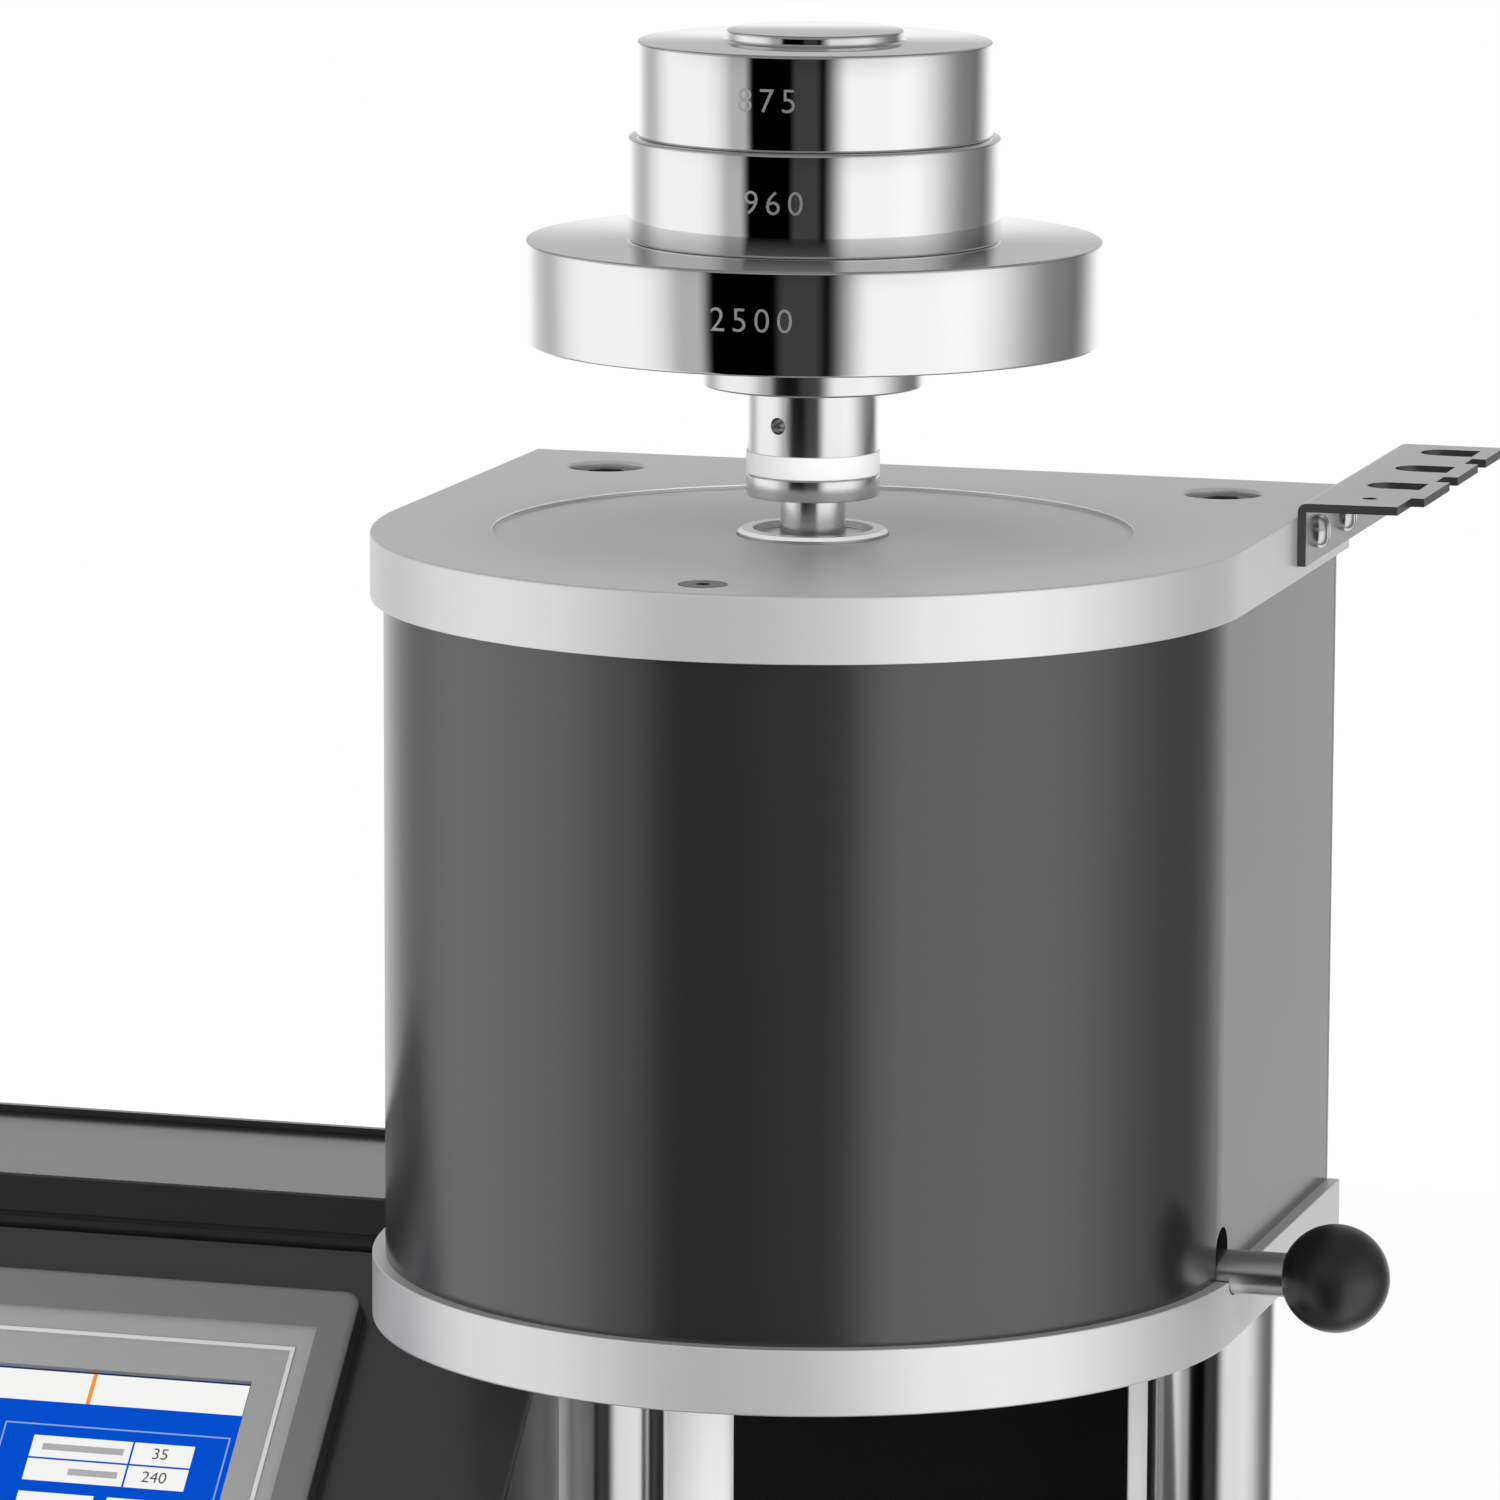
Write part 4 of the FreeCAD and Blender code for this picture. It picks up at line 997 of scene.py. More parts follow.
@dataclass
class TouchPanel(Assembly):
    """Bezel, glass and the picture on the screen.

    Attributes:
        layer: Distance between two layers of the picture.
        tab_count: Number of tabs along the upper edge.
        tab_height: Height of the tabs.
        line: Width of the lines between tabs.
        margin: Distance of the frames from the screen's edge.
        frame_top: Upper edge of the first row of frames.
        frame_width: Width of the frame on the right.
        frame_height: Height of every frame.
        frame_gap: Distance between two frames.
        cell_left: Distance of the cells from their frame's left edge.
        cell_top: Distance of the cells from their frame's upper edge.
        cell_height: Height of a cell.
        label_width: Width of a cell with a bar in place of words.
        value_width: Width of a cell with a number.
        group_loss: Width of a frame that its groups of cells leave over.
        bar_inset: Distance of a bar from its cell's left edge.
        bar_indent: How much further right the bar of the second row starts.
        bar_loss: Width of the label cell that its bar leaves over.
        button_top: Distance of the buttons from their frame's upper edge.
        button_step: Distance from one button to the next.
        button_width: Width of a button.
        button_height: Height of a button.
        button_bar: Left edge, lower edge and width of the bar on a button.
        bar_drop: Lower edge of a bar as a share of its cell's height, from the top.
        bar_share: Height of a bar as a share of a cell's.
        figure_share: Size of the figures as a share of a cell's height.
        ledge_side: Width of the bezel left and right of its sunk ledge.
        ledge_end: Width of the bezel above and below it.
        ledge_depth: How far the ledge is sunk.
        screen_thickness: Thickness of the glass.
    """

    VALUES: ClassVar = ("3", "12", "190", "5", "60", "4", "21", "8", "35", "240", "16", "7")
    layer: float = 0.00008
    tab_count: int = 4
    tab_height: float = 0.0088
    line: float = 0.0005
    margin: float = 0.0017
    frame_top: float = 0.0150
    frame_width: float = 0.0566
    frame_height: float = 0.0345
    frame_gap: float = 0.0015
    cell_left: float = 0.0081
    cell_top: float = 0.0032
    cell_height: float = 0.0059
    label_width: float = 0.0249
    value_width: float = 0.0150
    group_loss: float = 0.0056
    bar_inset: float = 0.0028
    bar_indent: float = 0.008
    bar_loss: float = 0.0045
    button_top: float = 0.0186
    button_step: float = 0.0222
    button_width: float = 0.0189
    button_height: float = 0.009
    button_bar: Triple = (0.005, 0.0056, 0.009)
    bar_drop: float = 0.66
    bar_share: float = 0.3
    figure_share: float = 0.72
    ledge_side: float = 0.0084
    ledge_end: float = 0.0109
    ledge_depth: float = 0.0008
    screen_thickness: float = 0.002

    def __post_init__(self) -> None:
        """Work out the screen's size and plane from its CAD box."""
        box = node_box("touch_screen")
        slope = math.radians(45.0)
        self.width = box.size.x
        self.height = box.size.y / math.cos(slope) - self.screen_thickness
        outward = Vector((0.0, -math.sin(slope), math.cos(slope)))
        origin = box.centre + outward * self.screen_thickness / 2
        self.plane = Matrix.Translation(origin) @ Matrix.Rotation(slope, 4, "X")

    def build(self) -> None:
        """Make the bezel and the screen's picture: tabs, framed fields, buttons and plain numbers."""
        self._bezel()
        self.paint.dress(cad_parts["touch_screen"], "screen_black")
        w, h = self.width, self.height
        tab = w / self.tab_count
        top = self.tab_height
        self._sheet([(0.0, h, w, h - top)], 1, "screen_field", "screen_blue")
        self._sheet([(i * tab + self.line, top, tab - 2 * self.line, top - self.line)
                     for i in range(self.tab_count)], 1, "screen_tabs", "screen_white")
        self._sheet([(i * tab - self.line, top, 2 * self.line, top - self.line)
                     for i in range(1, self.tab_count)], 2, "screen_tab_lines", "screen_orange")
        self._fields()

    def _show(self, name: str, mesh: bpy.types.Mesh, finish: str) -> None:
        """Add a piece of the picture and keep its light off the metal round it, as the studio outshines it.

        Args:
            name: Name of the piece.
            mesh: Its mesh.
            finish: Name of the finish.
        """
        piece = self.place(link(name, mesh), finish)
        piece.visible_diffuse = False
        piece.visible_glossy = False

    def _sheet(self, rectangles: Iterable[tuple[float, ...]], level: int, name: str, finish: str) -> None:
        """Lay flat rectangles on the screen.

        Args:
            rectangles: Left, bottom, width and height of each, from the screen's top left corner.
            level: Layer number, counted outwards from the glass.
            name: Name of the piece.
            finish: Name of the finish.
        """
        bm = bmesh.new()
        w = level * self.layer
        for left, bottom, wide, tall in rectangles:
            x = left - self.width / 2
            y = self.height / 2 - bottom
            corners = [(x, y, w), (x + wide, y, w), (x + wide, y + tall, w), (x, y + tall, w)]
            bm.faces.new([bm.verts.new(self.plane @ Vector(c)) for c in corners])
        self._show(name, to_mesh(bm, name), finish)

    def _figures(self, text: str, x: float, y: float) -> None:
        """Write a plain number on the screen.

        Args:
            text: The number.
            x: Distance from the screen's left edge.
            y: Distance below its upper edge.
        """
        mesh = text_mesh("figures", text, self.cell_height * self.figure_share)
        local = Vector((x - self.width / 2, self.height / 2 - y, 4 * self.layer))
        mesh.transform(self.plane @ Matrix.Translation(local))
        self._show(f"screen_figures_{int(x * 10000)}_{int(y * 10000)}", mesh, "screen_ink")

    def _fields(self) -> None:
        """Lay out the framed fields under the tabs, each with bars in place of words and plain numbers."""
        lines, cells, bars = [], [], []
        values = iter(self.VALUES)
        inner = self.width - 2 * self.margin - self.frame_gap
        frames = ((self.margin, inner - self.frame_width, 2),
                  (self.width - self.margin - self.frame_width, self.frame_width, 1))
        height, t = self.frame_height, self.line * 0.8
        for left, wide, groups in frames:
            for top in (self.frame_top, self.frame_top + height + self.frame_gap):
                lines += [(left, top + t, wide, t), (left, top + height, wide, t),
                          (left, top + height, t, height), (left + wide - t, top + height, t, height)]
                for group in range(groups):
                    x = left + self.cell_left + group * (wide - self.group_loss) / groups
                    self._cells(x, top + self.cell_top, cells, bars, values)
                    self._buttons(x, top + self.button_top, cells, bars)
        self._sheet(lines, 2, "screen_frame_lines", "screen_line")
        self._sheet(cells, 2, "screen_cells", "screen_white")
        self._sheet(bars, 3, "screen_bars", "screen_bar")

    def _cells(self, x: float, top: float, cells: list, bars: list, values: Iterator[str]) -> None:
        """Lay out two rows of a bar and a number.

        Args:
            x: Left edge.
            top: Upper edge.
            cells: List that takes the cells.
            bars: List that takes the bars.
            values: Numbers still to be written.
        """
        tall = self.cell_height
        for row in range(2):
            y = top + row * (tall + self.line)
            cells.append((x, y + tall, self.label_width, tall))
            cells.append((x + self.label_width + self.line, y + tall, self.value_width, tall))
            indent = self.bar_indent * row
            bars.append((x + self.bar_inset + indent, y + tall * self.bar_drop,
                         self.label_width - self.bar_loss - indent, tall * self.bar_share))
            self._figures(next(values), x + self.label_width + self.value_width / 2, y + tall * 0.5)

    def _buttons(self, x: float, top: float, cells: list, bars: list) -> None:
        """Lay out two buttons, each with a bar on it.

        Args:
            x: Left edge.
            top: Upper edge.
            cells: List that takes the buttons.
            bars: List that takes the bars.
        """
        bar_left, bar_low, bar_width = self.button_bar
        for left in (x, x + self.button_step):
            cells.append((left, top + self.button_height, self.button_width, self.button_height))
            bars.append((left + bar_left, top + bar_low, bar_width, self.cell_height * self.bar_share))

    def _bezel(self) -> None:
        """Refine the bezel and give its ledge a grey of its own; its ridge and sloped faces get a lighter
        grey as painted highlight, and its outer side walls black as painted shade of the gap.
        """
        bezel = self.refine("touch_bezel", "bezel_dark_grey")
        back = self.plane.inverted()
        turn = back.to_3x3()
        points = [back @ vertex.co for vertex in bezel.data.vertices]
        high = max(point.z for point in points)
        width = max(point.x for point in points) * 2
        tall = max(point.y for point in points) * 2
        greys = {"bezel_light_grey": [], "moulded_black": [], "bezel_painted_highlight": []}
        skin, slack, lip = 0.0004, 0.0001, 0.001
        for face in bezel.data.polygons:
            corners = [points[i] for i in face.vertices]
            if all(abs(c.x) < width / 2 - self.ledge_side and abs(c.y) < tall / 2 - self.ledge_end
                   for c in corners):
                # Painted highlight: the ridge and the sloped faces inside the ledge get a lighter grey than
                # the ledge.
                raised = min(c.z for c in corners) > high - self.ledge_depth + slack
                bevel = 0.1 < abs((turn @ face.normal).z) < 0.9
                greys["bezel_painted_highlight" if raised or bevel else "bezel_light_grey"].append(face.index)
            # Painted shade: the outer side walls below the lip are painted black, standing in for the dark
            # gap and contact shadow between bezel and console.
            elif (all(abs(c.x) > width / 2 - skin or abs(c.y) > tall / 2 - skin for c in corners)
                  and max(c.z for c in corners) < high - lip):
                greys["moulded_black"].append(face.index)
        for name, faces in greys.items():
            self.paint.touch_up(bezel, name, faces)
        bevelled(bezel, 0.0002)
        log.info("bezel %.1f by %.1f mm", width / MM, tall / MM)


@dataclass
class BaseUnit(Assembly):
    """Base housing, deck, feet, duct, inlet and the small things on them.

    Attributes:
        ring_inner: Inner radius of the level's ring mark.
        ring_outer: Outer radius of the mark.
        ring_height: Height of the mark.
        bubble_shift: How far the bubble is off the middle.
    """

    PIECES: ClassVar = (
        ("base_housing", "charcoal_coat", 0.0006, 3), ("base_plate", "rolled_steel", 0.0003),
        ("deck_plate", "satin_anodised", 0.0005, 3), ("cable_duct", "charcoal_coat", 0.0006),
        ("back_panel", "pale_panel", 0.0004), ("back_window", "black_window_film", 0.0002),
        ("mains_inlet", "moulded_black", 0.0003), ("fuse_drawer", "gloss_black", 0.0003, 2, "fuse_tray"),
        ("power_rocker", "gloss_black", 0.0004, 3, "power_switch"),
        ("level_housing", "machined_bronze", 0.0002), ("level_vial", "level_fluid", 0.0005, 3))
    BUBBLE: ClassVar = ((0.0, 0.0), (0.0021, 0.0), (0.0020, 0.00015), (0.0014, 0.0003), (0.0, 0.0004))
    ring_inner: float = 0.0030
    ring_outer: float = 0.0035
    ring_height: float = 0.0001
    bubble_shift: float = 0.0004

    def build(self) -> None:
        """Make the base's visible pieces."""
        self.refine_all(self.PIECES)
        self._bubble()
        self.refine("foot_stems", "bright_screw", 0.0002)
        self.refine_all((foot, "foot_rubber", 0.0004, 2, body) for foot, body in FEET.items())

    def _bubble(self) -> None:
        """Make the level's ring mark and its bubble."""
        vial = node_box("level_vial")
        low = vial.high.z
        high = low + self.ring_height
        middle = vial.centre
        ring = [(self.ring_inner, low), (self.ring_outer, low), (self.ring_outer, high),
                (self.ring_inner, high), (self.ring_inner, low)]
        self.place(lathe("level_ring_mark", ring, middle, 48), "moulded_black")
        middle.x += self.bubble_shift
        dome = [(radius, low + rise) for radius, rise in self.BUBBLE]
        self.place(lathe("level_bubble", dome, middle, 32), "level_air")


def repeat_tree(ring: bool) -> bpy.types.NodeTree:
    """Geometry Nodes tree that sets copies of a small piece in a row or round a circle.

    Args:
        ring: Whether the copies stand round a circle, each turned to face outwards.

    Returns:
        The tree.
    """
    tree = bpy.data.node_groups.new("ring_of_pieces" if ring else "row_of_pieces", "GeometryNodeTree")
    sizes = ((("Radius", "NodeSocketFloat"), ("Centre", "NodeSocketVector")) if ring
             else (("Start", "NodeSocketVector"), ("Step", "NodeSocketVector")))
    piece = ("Geometry", "NodeSocketGeometry")
    add_sockets(tree, "INPUT", (piece, ("Count", "NodeSocketInt"), *sizes,
                                ("Material", "NodeSocketMaterial")))
    add_sockets(tree, "OUTPUT", (piece,))
    sheet = NodeSheet(tree)
    given = sheet.add("NodeGroupInput").outputs
    placing = {"Instance": given["Geometry"]}
    if ring:
        points = sheet.add("GeometryNodeMeshCircle", {"Vertices": given["Count"], "Radius": given["Radius"]})
        share = sheet.math("DIVIDE", sheet.add("GeometryNodeInputIndex").outputs[0], given["Count"])
        turn = sheet.math("MULTIPLY", share, 2 * math.pi)
        placing["Rotation"] = sheet.add("ShaderNodeCombineXYZ", {"Z": turn}).outputs[0]
    else:
        points = sheet.add("GeometryNodeMeshLine", {"Count": given["Count"], "Start Location": given["Start"],
                                                    "Offset": given["Step"]})
    copies = sheet.add("GeometryNodeInstanceOnPoints", {"Points": points.outputs[0], **placing})
    real = sheet.add("GeometryNodeRealizeInstances", {"Geometry": copies.outputs[0]})
    if ring:
        real = sheet.add("GeometryNodeTransform", {"Geometry": real.outputs[0],
                                                   "Translation": given["Centre"]})
    painted = sheet.add("GeometryNodeSetMaterial", {"Geometry": real.outputs[0],
                                                    "Material": given["Material"]})
    sheet.add("NodeGroupOutput", {"Geometry": painted.outputs[0]})
    return tree


@dataclass
class Fasteners(Assembly):
    """Rows of screws that hold the sheets, and the ribs round the feet.

    Attributes:
        sheet_screw: Radius of the screws in the sheets.
        dome: Height of their heads.
        inset: Distance of a row from the edge of its sheet.
        cover_end: Distance of the back cover's last screws from its ends.
        duct_end: The same on the cable duct.
        base_end: The same on the base's back.
        base_rise: Height of that row over the base's lower edge.
        bottom_inset: Distance of the base plate's rows from the base's front and back.
        bottom_end: Distance of their last screws from the base's sides.
        panel_rise: Heights of the back panel's two screws over its lower edge.
        inlet_screw: Radius and height of the inlet's screws.
        inlet_insets: Distances of those screws from the inlet's left and right side.
        cap_screw: Radius of the deck's cap screws.
        cap_height: Height of their heads.
        cap_inset: Distance of the cap screws from the deck's edges.
        slot: Length and width of a screw's slots as shares of its radius.
        socket: Radius of a cap screw's socket as a share of its own.
        rib_count: Number of ribs round a foot.
        rib_radius: Radius of a rib.
        rib_low: Height of a rib's lower end over the bench.
        rib_high: Height of its upper end.
        rib_sink: How far the ribs reach into the foot.
    """

    DOME_SHAPE: ClassVar = ((0.0, 0.0), (1.0, 0.0), (0.97, 0.45), (0.8, 0.82), (0.5, 0.97), (0.0, 1.0))
    CAP_SHAPE: ClassVar = ((0.0, 0.0), (1.0, 0.0), (1.0, 0.85), (0.93, 1.0), (0.0, 1.0))
    sheet_screw: float = 0.0030
    dome: float = 0.0013
    inset: float = 0.0055
    cover_end: float = 0.012
    duct_end: float = 0.014
    base_end: float = 0.02
    base_rise: float = 0.006
    bottom_inset: float = 0.009
    bottom_end: float = 0.016
    panel_rise: tuple[float, float] = (0.012, 0.09)
    inlet_screw: tuple[float, float] = (0.0021, 0.0008)
    inlet_insets: tuple[float, float] = (0.0029, 0.0026)
    cap_screw: float = 0.0042
    cap_height: float = 0.0028
    cap_inset: float = 0.012
    slot: tuple[float, float] = (1.25, 0.24)
    socket: float = 0.55
    rib_count: int = 28
    rib_radius: float = 0.0006
    rib_low: float = 0.0012
    rib_high: float = 0.0062
    rib_sink: float = 0.0001

    def __post_init__(self) -> None:
        """Build the trees that repeat a piece."""
        self.line = repeat_tree(False)
        self.circle = repeat_tree(True)

    def build(self) -> None:
        """Make every row of screws, and the ribs."""
        back, front, down = Vector((0.0, 1.0, 0.0)), Vector((0.0, -1.0, 0.0)), Vector((0.0, 0.0, -1.0))
        base, panel, window = node_box("base_housing"), node_box("back_panel"), node_box("back_window")
        for label, node, count, end in (("cover", "furnace_back_cover", 4, self.cover_end),
                                        ("duct", "cable_duct", 5, self.duct_end)):
            box = node_box(node)
            for side, x in (("left", box.low.x + self.inset), ("right", box.high.x - self.inset)):
                self._screws(f"{label}_screws_{side}", back, count, (x, box.high.y, box.low.z + end),
                             (x, box.high.y, box.high.z - end), "dark_screw")
        z = base.low.z + self.base_rise
        self._screws("base_back_screws", back, 7, (base.low.x + self.base_end, base.high.y, z),
                     (base.high.x - self.base_end, base.high.y, z), "dark_screw")
        for side, y in (("front", base.low.y + self.bottom_inset), ("back", base.high.y - self.bottom_inset)):
            self._screws("base_plate_screws_" + side, down, 6, (base.low.x + self.bottom_end, y, base.low.z),
                         (base.high.x - self.bottom_end, y, base.low.z))
        for side, x in (("left", (panel.low.x + window.low.x) / 2),
                        ("right", (panel.high.x + window.high.x) / 2)):
            first, last = ((x, panel.low.y, panel.low.z + rise) for rise in self.panel_rise)
            self._screws("panel_screws_" + side, front, 2, first, last)
        inlet = node_box("mains_inlet")
        y, z = inlet.high.y, inlet.centre.z
        left, right = self.inlet_insets
        self._row(self._screw_head("inlet_screws", *self.inlet_screw, back), 2, (inlet.low.x + left, y, z),
                  (inlet.high.x - right, y, z))
        deck = node_box("deck_plate")
        for side, x in (("left", node_box("console_front").high.x + self.cap_inset),
                        ("right", deck.high.x - self.cap_inset)):
            self._row(self._cap_head("deck_screws_" + side), 3, (x, deck.low.y + self.cap_inset, deck.high.z),
                      (x, deck.high.y - self.cap_inset, deck.high.z))
        self._ribs()

    def _screw_head(self, name: str, radius: float, height: float, facing: Vector) -> bpy.types.Object:
        """A domed screw head about the origin, with a crossed slot.

        Args:
            name: Name of the piece.
            radius: Radius of the head.
            height: Height of the dome.
            facing: Direction that the dome points in.

        Returns:
            The screw head.
        """
        head = lathe(name, [(radius * r, height * h) for r, h in self.DOME_SHAPE], ORIGIN, 24)
        bm = bmesh.new()
        for x, y in (self.slot, self.slot[::-1]):
            cube = bmesh.ops.create_cube(bm, size=1.0)
            bmesh.ops.scale(bm, vec=(radius * x, radius * y, height * 0.9), verts=cube["verts"])
            bmesh.ops.translate(bm, vec=(0.0, 0.0, height * 0.95), verts=cube["verts"])
        cut_out(head, bm)
        head.data.transform(facing.to_track_quat("Z", "Y").to_matrix().to_4x4())
        return head

    def _cap_head(self, name: str) -> bpy.types.Object:
        """A cap screw's head about the origin, facing up, with a six-sided socket.

        Args:
            name: Name of the piece.

        Returns:
            The screw head.
        """
        radius, height = self.cap_screw, self.cap_height
        head = lathe(name, [(radius * r, height * h) for r, h in self.CAP_SHAPE], ORIGIN, 32)
        bm = bmesh.new()
        socket = radius * self.socket
        bmesh.ops.create_cone(bm, cap_ends=True, segments=6, radius1=socket, radius2=socket, depth=height)
        bmesh.ops.translate(bm, vec=(0.0, 0.0, height), verts=bm.verts)
        cut_out(head, bm)
        return head

    def _screws(self, name: str, facing: Vector, count: int, start: Triple, end: Triple,
                finish: str = "bright_screw") -> None:
        """Set one row of cross-slotted screws.

        Args:
            name: Name of the row.
            facing: Direction that the heads point in.
            count: Number of screws.
            start: Place of the first one.
            end: Place of the last one.
            finish: Name of the finish.
        """
        self._row(self._screw_head(name, self.sheet_screw, self.dome, facing), count, start, end, finish)

    def _row(self, piece: bpy.types.Object, count: int, start: Triple, end: Triple,
             finish: str = "bright_screw") -> None:
        """Turn a small piece that was made about the origin into an even row of it.

        Args:
            piece: The piece to repeat.
            count: Number of copies, two or more.
            start: Place of the first one.
            end: Place of the last one.
            finish: Name of the finish.
        """
        step = (Vector(end) - Vector(start)) / (count - 1)
        self._repeat(piece, self.line, {"Count": count, "Start": start, "Step": tuple(step)}, finish, "frame")

    def _repeat(self, piece: bpy.types.Object, tree: bpy.types.NodeTree, inputs: dict[str, object],
                finish: str, body: str) -> None:
        """Run one of the trees on a piece and keep the result as plain mesh.

        Args:
            piece: The piece to repeat.
            tree: The tree.
            inputs: Values of the tree's inputs by name.
            finish: Name of the finish.
            body: Body that the copies ride on.
        """
        inputs = {**inputs, "Material": self.paint.material[finish]}
        modifier = piece.modifiers.new("copies", "NODES")
        modifier.node_group = tree
        for item in tree.interface.items_tree:
            if item.in_out == "INPUT" and item.name in inputs:
                modifier[item.identifier] = inputs[item.name]
        bake_modifiers(piece)
        bm = bmesh.new()
        bm.from_mesh(piece.data)
        soften(bm, TURNED_SHARP)
        bm.to_mesh(piece.data)
        bm.free()
        self.place(piece, finish, body)

    def _ribs(self) -> None:
        """Set half-round grip ribs round each foot."""
        steps = 5
        for foot, body in FEET.items():
            box = node_box(foot)
            bm = bmesh.new()
            turns = [math.pi * (i / (steps - 1) - 0.5) for i in range(steps)]
            columns = [[bm.verts.new((self.rib_radius * math.cos(turn), self.rib_radius * math.sin(turn), z))
                        for z in (self.rib_low, self.rib_high)] for turn in turns]
            for left, right in zip(columns, columns[1:]):
                bm.faces.new([left[0], right[0], right[1], left[1]])
            bm.faces.new([column[1] for column in columns])
            bm.faces.new([column[0] for column in reversed(columns)])
            bm.faces.new([columns[0][0], columns[0][1], columns[-1][1], columns[-1][0]])
            bmesh.ops.recalc_face_normals(bm, faces=bm.faces)
            rib = link(foot.replace("foot_", "foot_ribs_"), to_mesh(bm, "foot_rib"))
            centre = (box.centre.x, box.centre.y, box.low.z)
            self._repeat(rib, self.circle, {"Count": self.rib_count, "Radius": box.size.x / 2 - self.rib_sink,
                                            "Centre": centre}, "foot_rubber", body)


@dataclass
class InnerParts(Assembly):
    """Pieces that no view shows: they keep their CAD mesh and get their material."""

    FINISH: ClassVar = {
        "die": "turned_steel", "heating_block": "machined_bronze", "heater_bands": "rolled_steel",
        "temperature_probe": "bright_screw", "insulation": "mineral_wool", "spacers": "bright_screw",
        "front_post": "bright_screw", "column_bolts": "dark_screw", "piston_rod": "turned_steel",
        "touch_case": "moulded_black", "panel_clamps": "rolled_steel", "control_board": "circuit_board",
        "power_supply": "rolled_steel", "inlet_pins": "machined_bronze"}

    def build(self) -> None:
        """Dress the inner pieces."""
        for node, finish in self.FINISH.items():
            self.paint.dress(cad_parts[node], finish)


@dataclass(frozen=True)
class SoftBox:
    """One light or dark field of the studio, as a range of azimuths seen from the object.

    Attributes:
        left: Azimuth of the left edge in degrees, 0 in front and growing towards +X.
        left_edge: How many degrees the left edge takes to fade.
        right: Azimuth of the right edge.
        right_edge: How many degrees the right edge takes to fade.
        level: Brightness.
    """

    left: float
    left_edge: float
    right: float
    right_edge: float
    level: float

    def build(self, sheet: NodeSheet, angle: bpy.types.NodeSocket) -> bpy.types.NodeSocket:
        """Add the nodes that give the field's level at an azimuth, with soft edges.

        Args:
            sheet: Sheet of the world.
            angle: The azimuth.

        Returns:
            The level.
        """
        sides = [sheet.ramp(angle, place - fade / 2, place + fade / 2, kind="SMOOTHSTEP")
                 for place, fade in ((self.left, self.left_edge), (self.right, self.right_edge))]
        return sheet.math("MULTIPLY", sheet.math("SUBTRACT", *sides), self.level)


@dataclass(frozen=True)
class Lamp:
    """One soft area lamp that glossy surfaces don't mirror.

    Attributes:
        name: Name of the lamp.
        place: Where it hangs.
        aim_share: Where it shines, as a share of the barrel axis's distance from the middle.
        aim_height: Height that it shines at.
        size: Edge length.
        power: Power in watts.
    """

    name: str
    place: Triple
    aim_share: float
    aim_height: float
    size: float
    power: float

    def build(self, axis: Vector) -> None:
        """Hang the lamp.

        Args:
            axis: A point on the barrel's axis.
        """
        data = bpy.data.lights.new(self.name, "AREA")
        data.size = self.size
        data.energy = self.power
        lamp = link(self.name, data)
        lamp.location = self.place
        back = Vector(self.place) - Vector((axis.x * self.aim_share, 0.0, self.aim_height))
        lamp.rotation_euler = back.to_track_quat("Z", "Y").to_euler()
        lamp.visible_glossy = False
        lamp.visible_camera = False


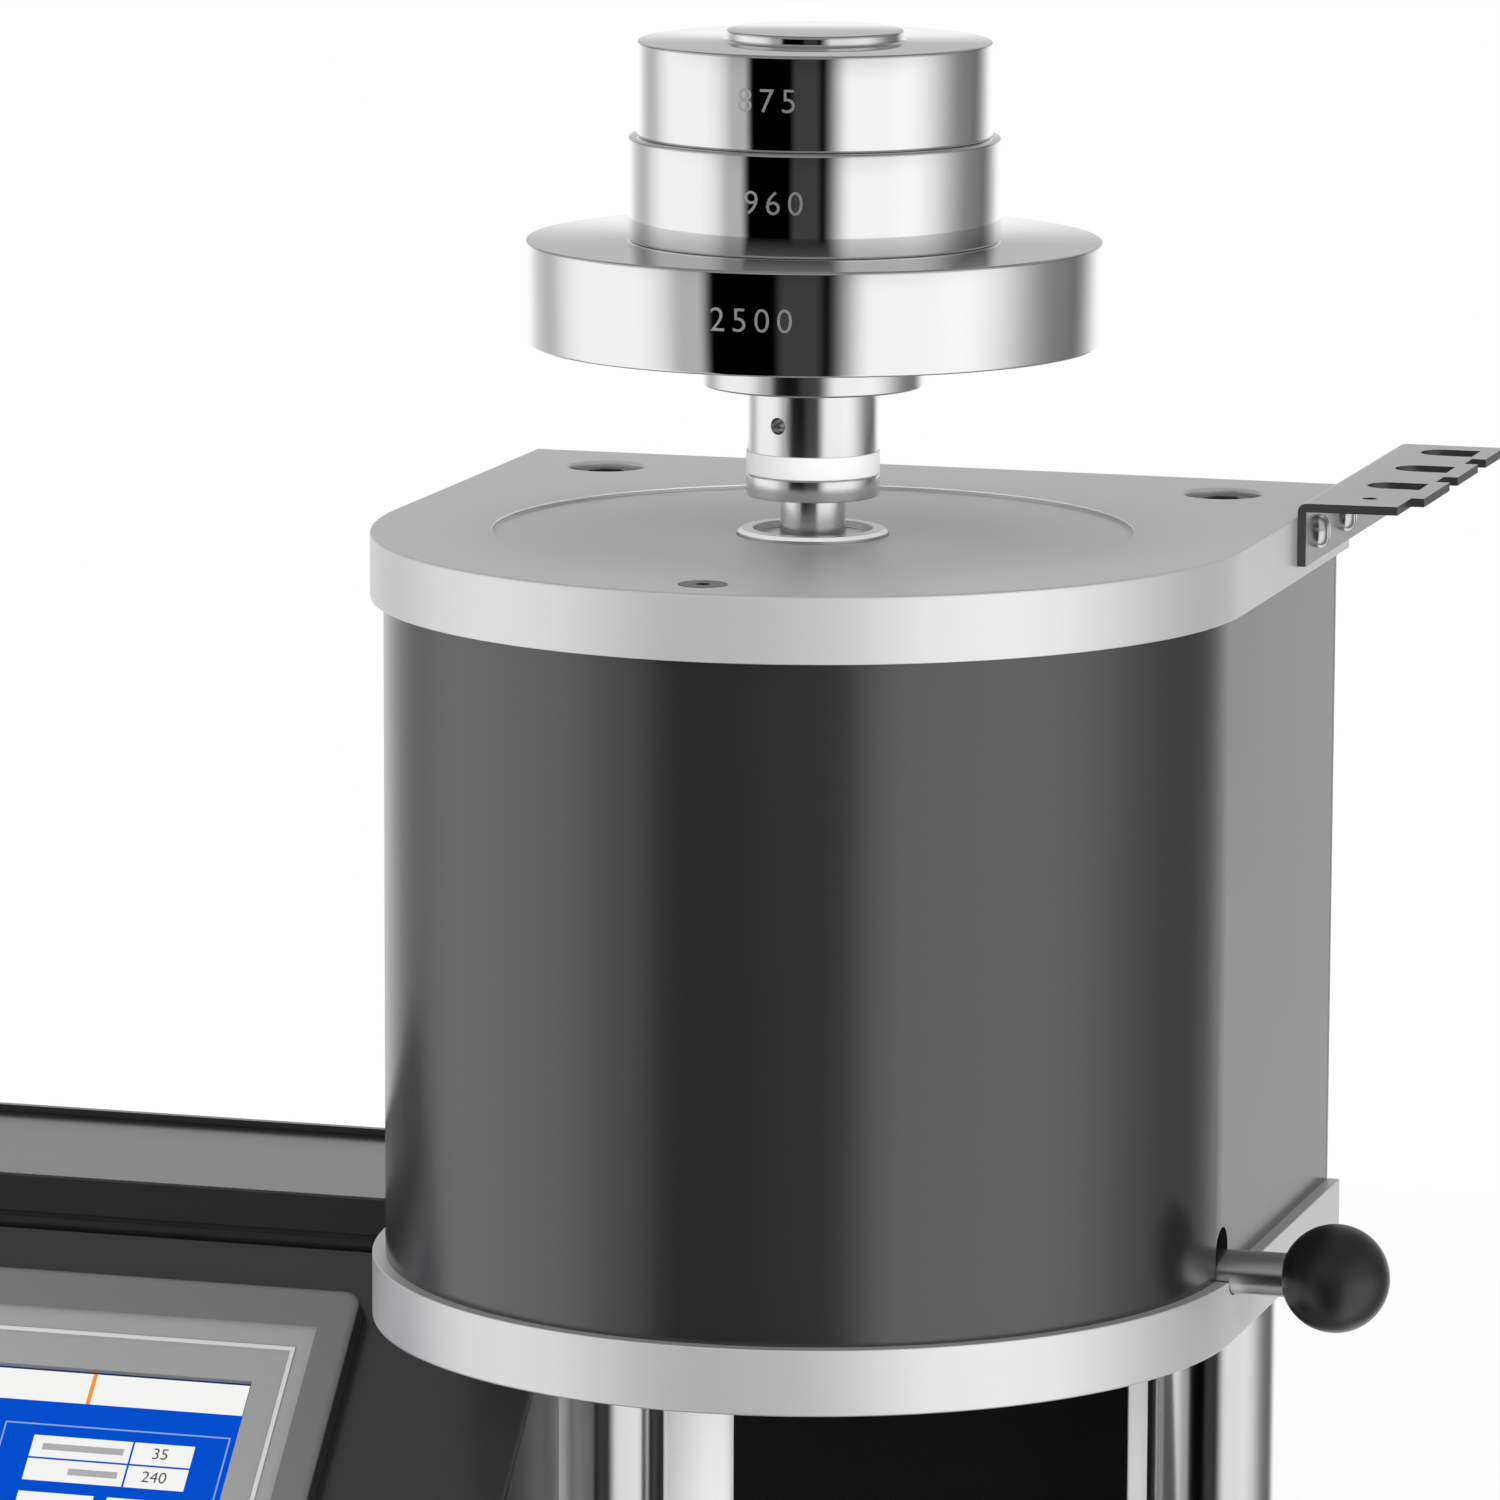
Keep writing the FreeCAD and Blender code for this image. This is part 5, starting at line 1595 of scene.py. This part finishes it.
@dataclass
class Studio:
    """Camera, backdrop, floor and light.

    The camera was solved from the photograph: it looks at a point near the furnace's top. Heights in
    the world are sines of the elevation.

    Attributes:
        azimuth: Camera's azimuth in degrees.
        elevation: Camera's elevation in degrees.
        roll: Camera's roll in degrees.
        distance: Distance of the camera from the point that it looks at.
        lens: Focal length in millimetres.
        aim_left: How far left of the barrel's axis that point is.
        aim_drop: How far it is under the top plate.
        floor_radius: Radius of the round floor.
        fade_share: Share of that radius at which the floor starts to fade into the white.
        high_level: What is left of the boxes' level above the horizon.
        horizon: Heights between which the level falls to that.
        ceiling_level: Least level above the horizon.
        ceiling: Heights between which it comes in.
        overhead_level: Level of everything overhead.
        overhead: Heights between which that takes over.
        fill: Level that matt surfaces see.
    """

    BOXES: ClassVar = (
        SoftBox(-200.0, 1.0, -126.0, 36.0, 1.1),
        SoftBox(-112.0, 50.0, -48.0, 22.0, 1.1),
        SoftBox(-50.0, 16.0, -27.5, 7.0, 0.52),
        SoftBox(2.0, 5.0, 19.0, 6.0, 0.055),
        SoftBox(30.0, 19.0, 99.0, 60.0, 1.12),
        SoftBox(80.0, 40.0, 150.0, 50.0, 0.25),
        SoftBox(157.0, 34.0, 200.0, 1.0, 1.1))
    LAMPS: ClassVar = (
        Lamp("left_soft_box", (-1.5, -1.3, 1.5), 0.5, 0.3, 1.2, 17.0),
        Lamp("right_soft_box", (1.9, -0.9, 0.62), 0.5, 0.3, 1.1, 24.0),
        Lamp("top_soft_box", (0.1, 0.3, 2.2), 0.5, 0.3, 1.5, 12.0),
        Lamp("low_front_fill", (0.4, -2.3, 0.3), 1.0, 0.2, 1.6, 34.0))
    azimuth: float = 16.381
    elevation: float = 9.761
    roll: float = 0.217
    distance: float = 2.0337
    lens: float = 214.7
    aim_left: float = 0.01458
    aim_drop: float = 0.05144
    floor_radius: float = 1.4
    fade_share: float = 0.45
    high_level: float = 0.5
    horizon: tuple[float, float] = (-0.04, 0.14)
    ceiling_level: float = 0.3
    ceiling: tuple[float, float] = (0.06, 0.26)
    overhead_level: float = 0.22
    overhead: tuple[float, float] = (0.4, 0.75)
    fill: float = 0.95

    def build(self, axis: Vector, top: float) -> None:
        """Set up the whole studio.

        Args:
            axis: A point on the barrel's axis.
            top: Height of the top plate's upper face.
        """
        self._camera(axis, top)
        self._world()
        self._floor()
        for lamp in self.LAMPS:
            lamp.build(axis)
        bpy.context.scene.view_settings.view_transform = "Standard"

    def _camera(self, axis: Vector, top: float) -> None:
        """Make the camera at the photograph's place.

        Args:
            axis: A point on the barrel's axis.
            top: Height of the top plate's upper face.
        """
        data = bpy.data.cameras.new("photo_camera")
        data.lens = self.lens
        data.sensor_width = 36.0
        data.clip_start = 0.05
        data.clip_end = 30.0
        camera = link("photo_camera", data)
        a, e = math.radians(self.azimuth), math.radians(self.elevation)
        back = Vector((math.sin(a) * math.cos(e), -math.cos(a) * math.cos(e), math.sin(e)))
        aim = Vector((axis.x - self.aim_left, axis.y, top - self.aim_drop))
        turn = back.to_track_quat("Z", "Y").to_matrix().to_4x4()
        roll = Matrix.Rotation(math.radians(self.roll), 4, "Z")
        camera.matrix_world = Matrix.Translation(aim + back * self.distance) @ turn @ roll
        bpy.context.scene.camera = camera

    def _world(self) -> None:
        """White to the camera; to glossy surfaces a studio of soft boxes with a dark gap in front."""
        world = bpy.data.worlds.new("studio")
        bpy.context.scene.world = world
        world.use_nodes = True
        sheet = NodeSheet(world.node_tree)
        direction = sheet.add("ShaderNodeTexCoord").outputs["Generated"]
        x, y, z = sheet.add("ShaderNodeSeparateXYZ", {0: direction}).outputs
        angle = sheet.math("DEGREES", sheet.math("ARCTAN2", x, sheet.math("MULTIPLY", y, -1.0)))
        total = 0.0
        for box in self.BOXES:
            total = sheet.math("ADD", total, box.build(sheet, angle))
        fall = sheet.ramp(z, *self.horizon, 1.0, self.high_level, "SMOOTHSTEP")
        sides = sheet.math("MULTIPLY", total, fall)
        lit = sheet.math("MAXIMUM", sides, sheet.ramp(z, *self.ceiling, 0.0, self.ceiling_level))
        overhead = sheet.ramp(z, *self.overhead, kind="SMOOTHSTEP")
        level = sheet.add("ShaderNodeMix", {0: overhead, 2: lit, 3: self.overhead_level}, data_type="FLOAT")
        shine, soft, white = (sheet.add("ShaderNodeBackground", {"Color": (1.0, 1.0, 1.0, 1.0),
                                                                 "Strength": strength}).outputs[0]
                              for strength in (level.outputs[0], self.fill, 1.0))
        path = sheet.add("ShaderNodeLightPath").outputs
        seen = sheet.add("ShaderNodeMixShader", {0: path["Is Diffuse Ray"], 1: shine, 2: soft})
        seen = sheet.add("ShaderNodeMixShader", {0: path["Is Camera Ray"], 1: seen.outputs[0], 2: white})
        sheet.add("ShaderNodeOutputWorld", {"Surface": seen.outputs[0]})

    def _floor(self) -> None:
        """Plain pale round bench top that keeps the object's shadow and fades into the white."""
        bm = bmesh.new()
        bmesh.ops.create_circle(bm, cap_ends=True, segments=96, radius=self.floor_radius)
        mesh = to_mesh(bm, "floor")
        floor = link("floor", mesh)
        material = bpy.data.materials.new("pale_floor")
        material.use_nodes = True
        sheet = NodeSheet(material.node_tree)
        place = sheet.add("ShaderNodeTexCoord").outputs["Object"]
        far = sheet.add("ShaderNodeVectorMath", {0: place}, operation="LENGTH").outputs["Value"]
        fade = sheet.ramp(far, self.floor_radius * self.fade_share, self.floor_radius)
        seen = sheet.math("MULTIPLY", fade, sheet.add("ShaderNodeLightPath").outputs["Is Camera Ray"])
        matt = sheet.add("ShaderNodeBsdfPrincipled", {"Base Color": (0.8, 0.8, 0.8, 1.0), "Roughness": 0.7})
        white = sheet.add("ShaderNodeEmission", {"Strength": 1.0})
        mixed = sheet.add("ShaderNodeMixShader", {0: seen, 1: matt.outputs[0], 2: white.outputs[0]})
        sheet.add("ShaderNodeOutputMaterial", {"Surface": mixed.outputs[0]})
        mesh.materials.append(material)
        floor.visible_glossy = False


def main() -> None:
    """Build the looks of every sub-assembly, then the studio."""
    logging.basicConfig(level=logging.INFO, format="%(name)s: %(message)s")
    axis = node_box("piston_rod").centre
    paint = Paintbox(axis)
    for assembly in (Furnace, PistonStack, DieLever, ToolRack, StrandCutter, Console, TouchPanel, BaseUnit,
                     Fasteners, InnerParts):
        assembly(axis, paint).build()
    Studio().build(axis, node_box("top_plate").high.z)


if __name__ == "__main__":
    main()
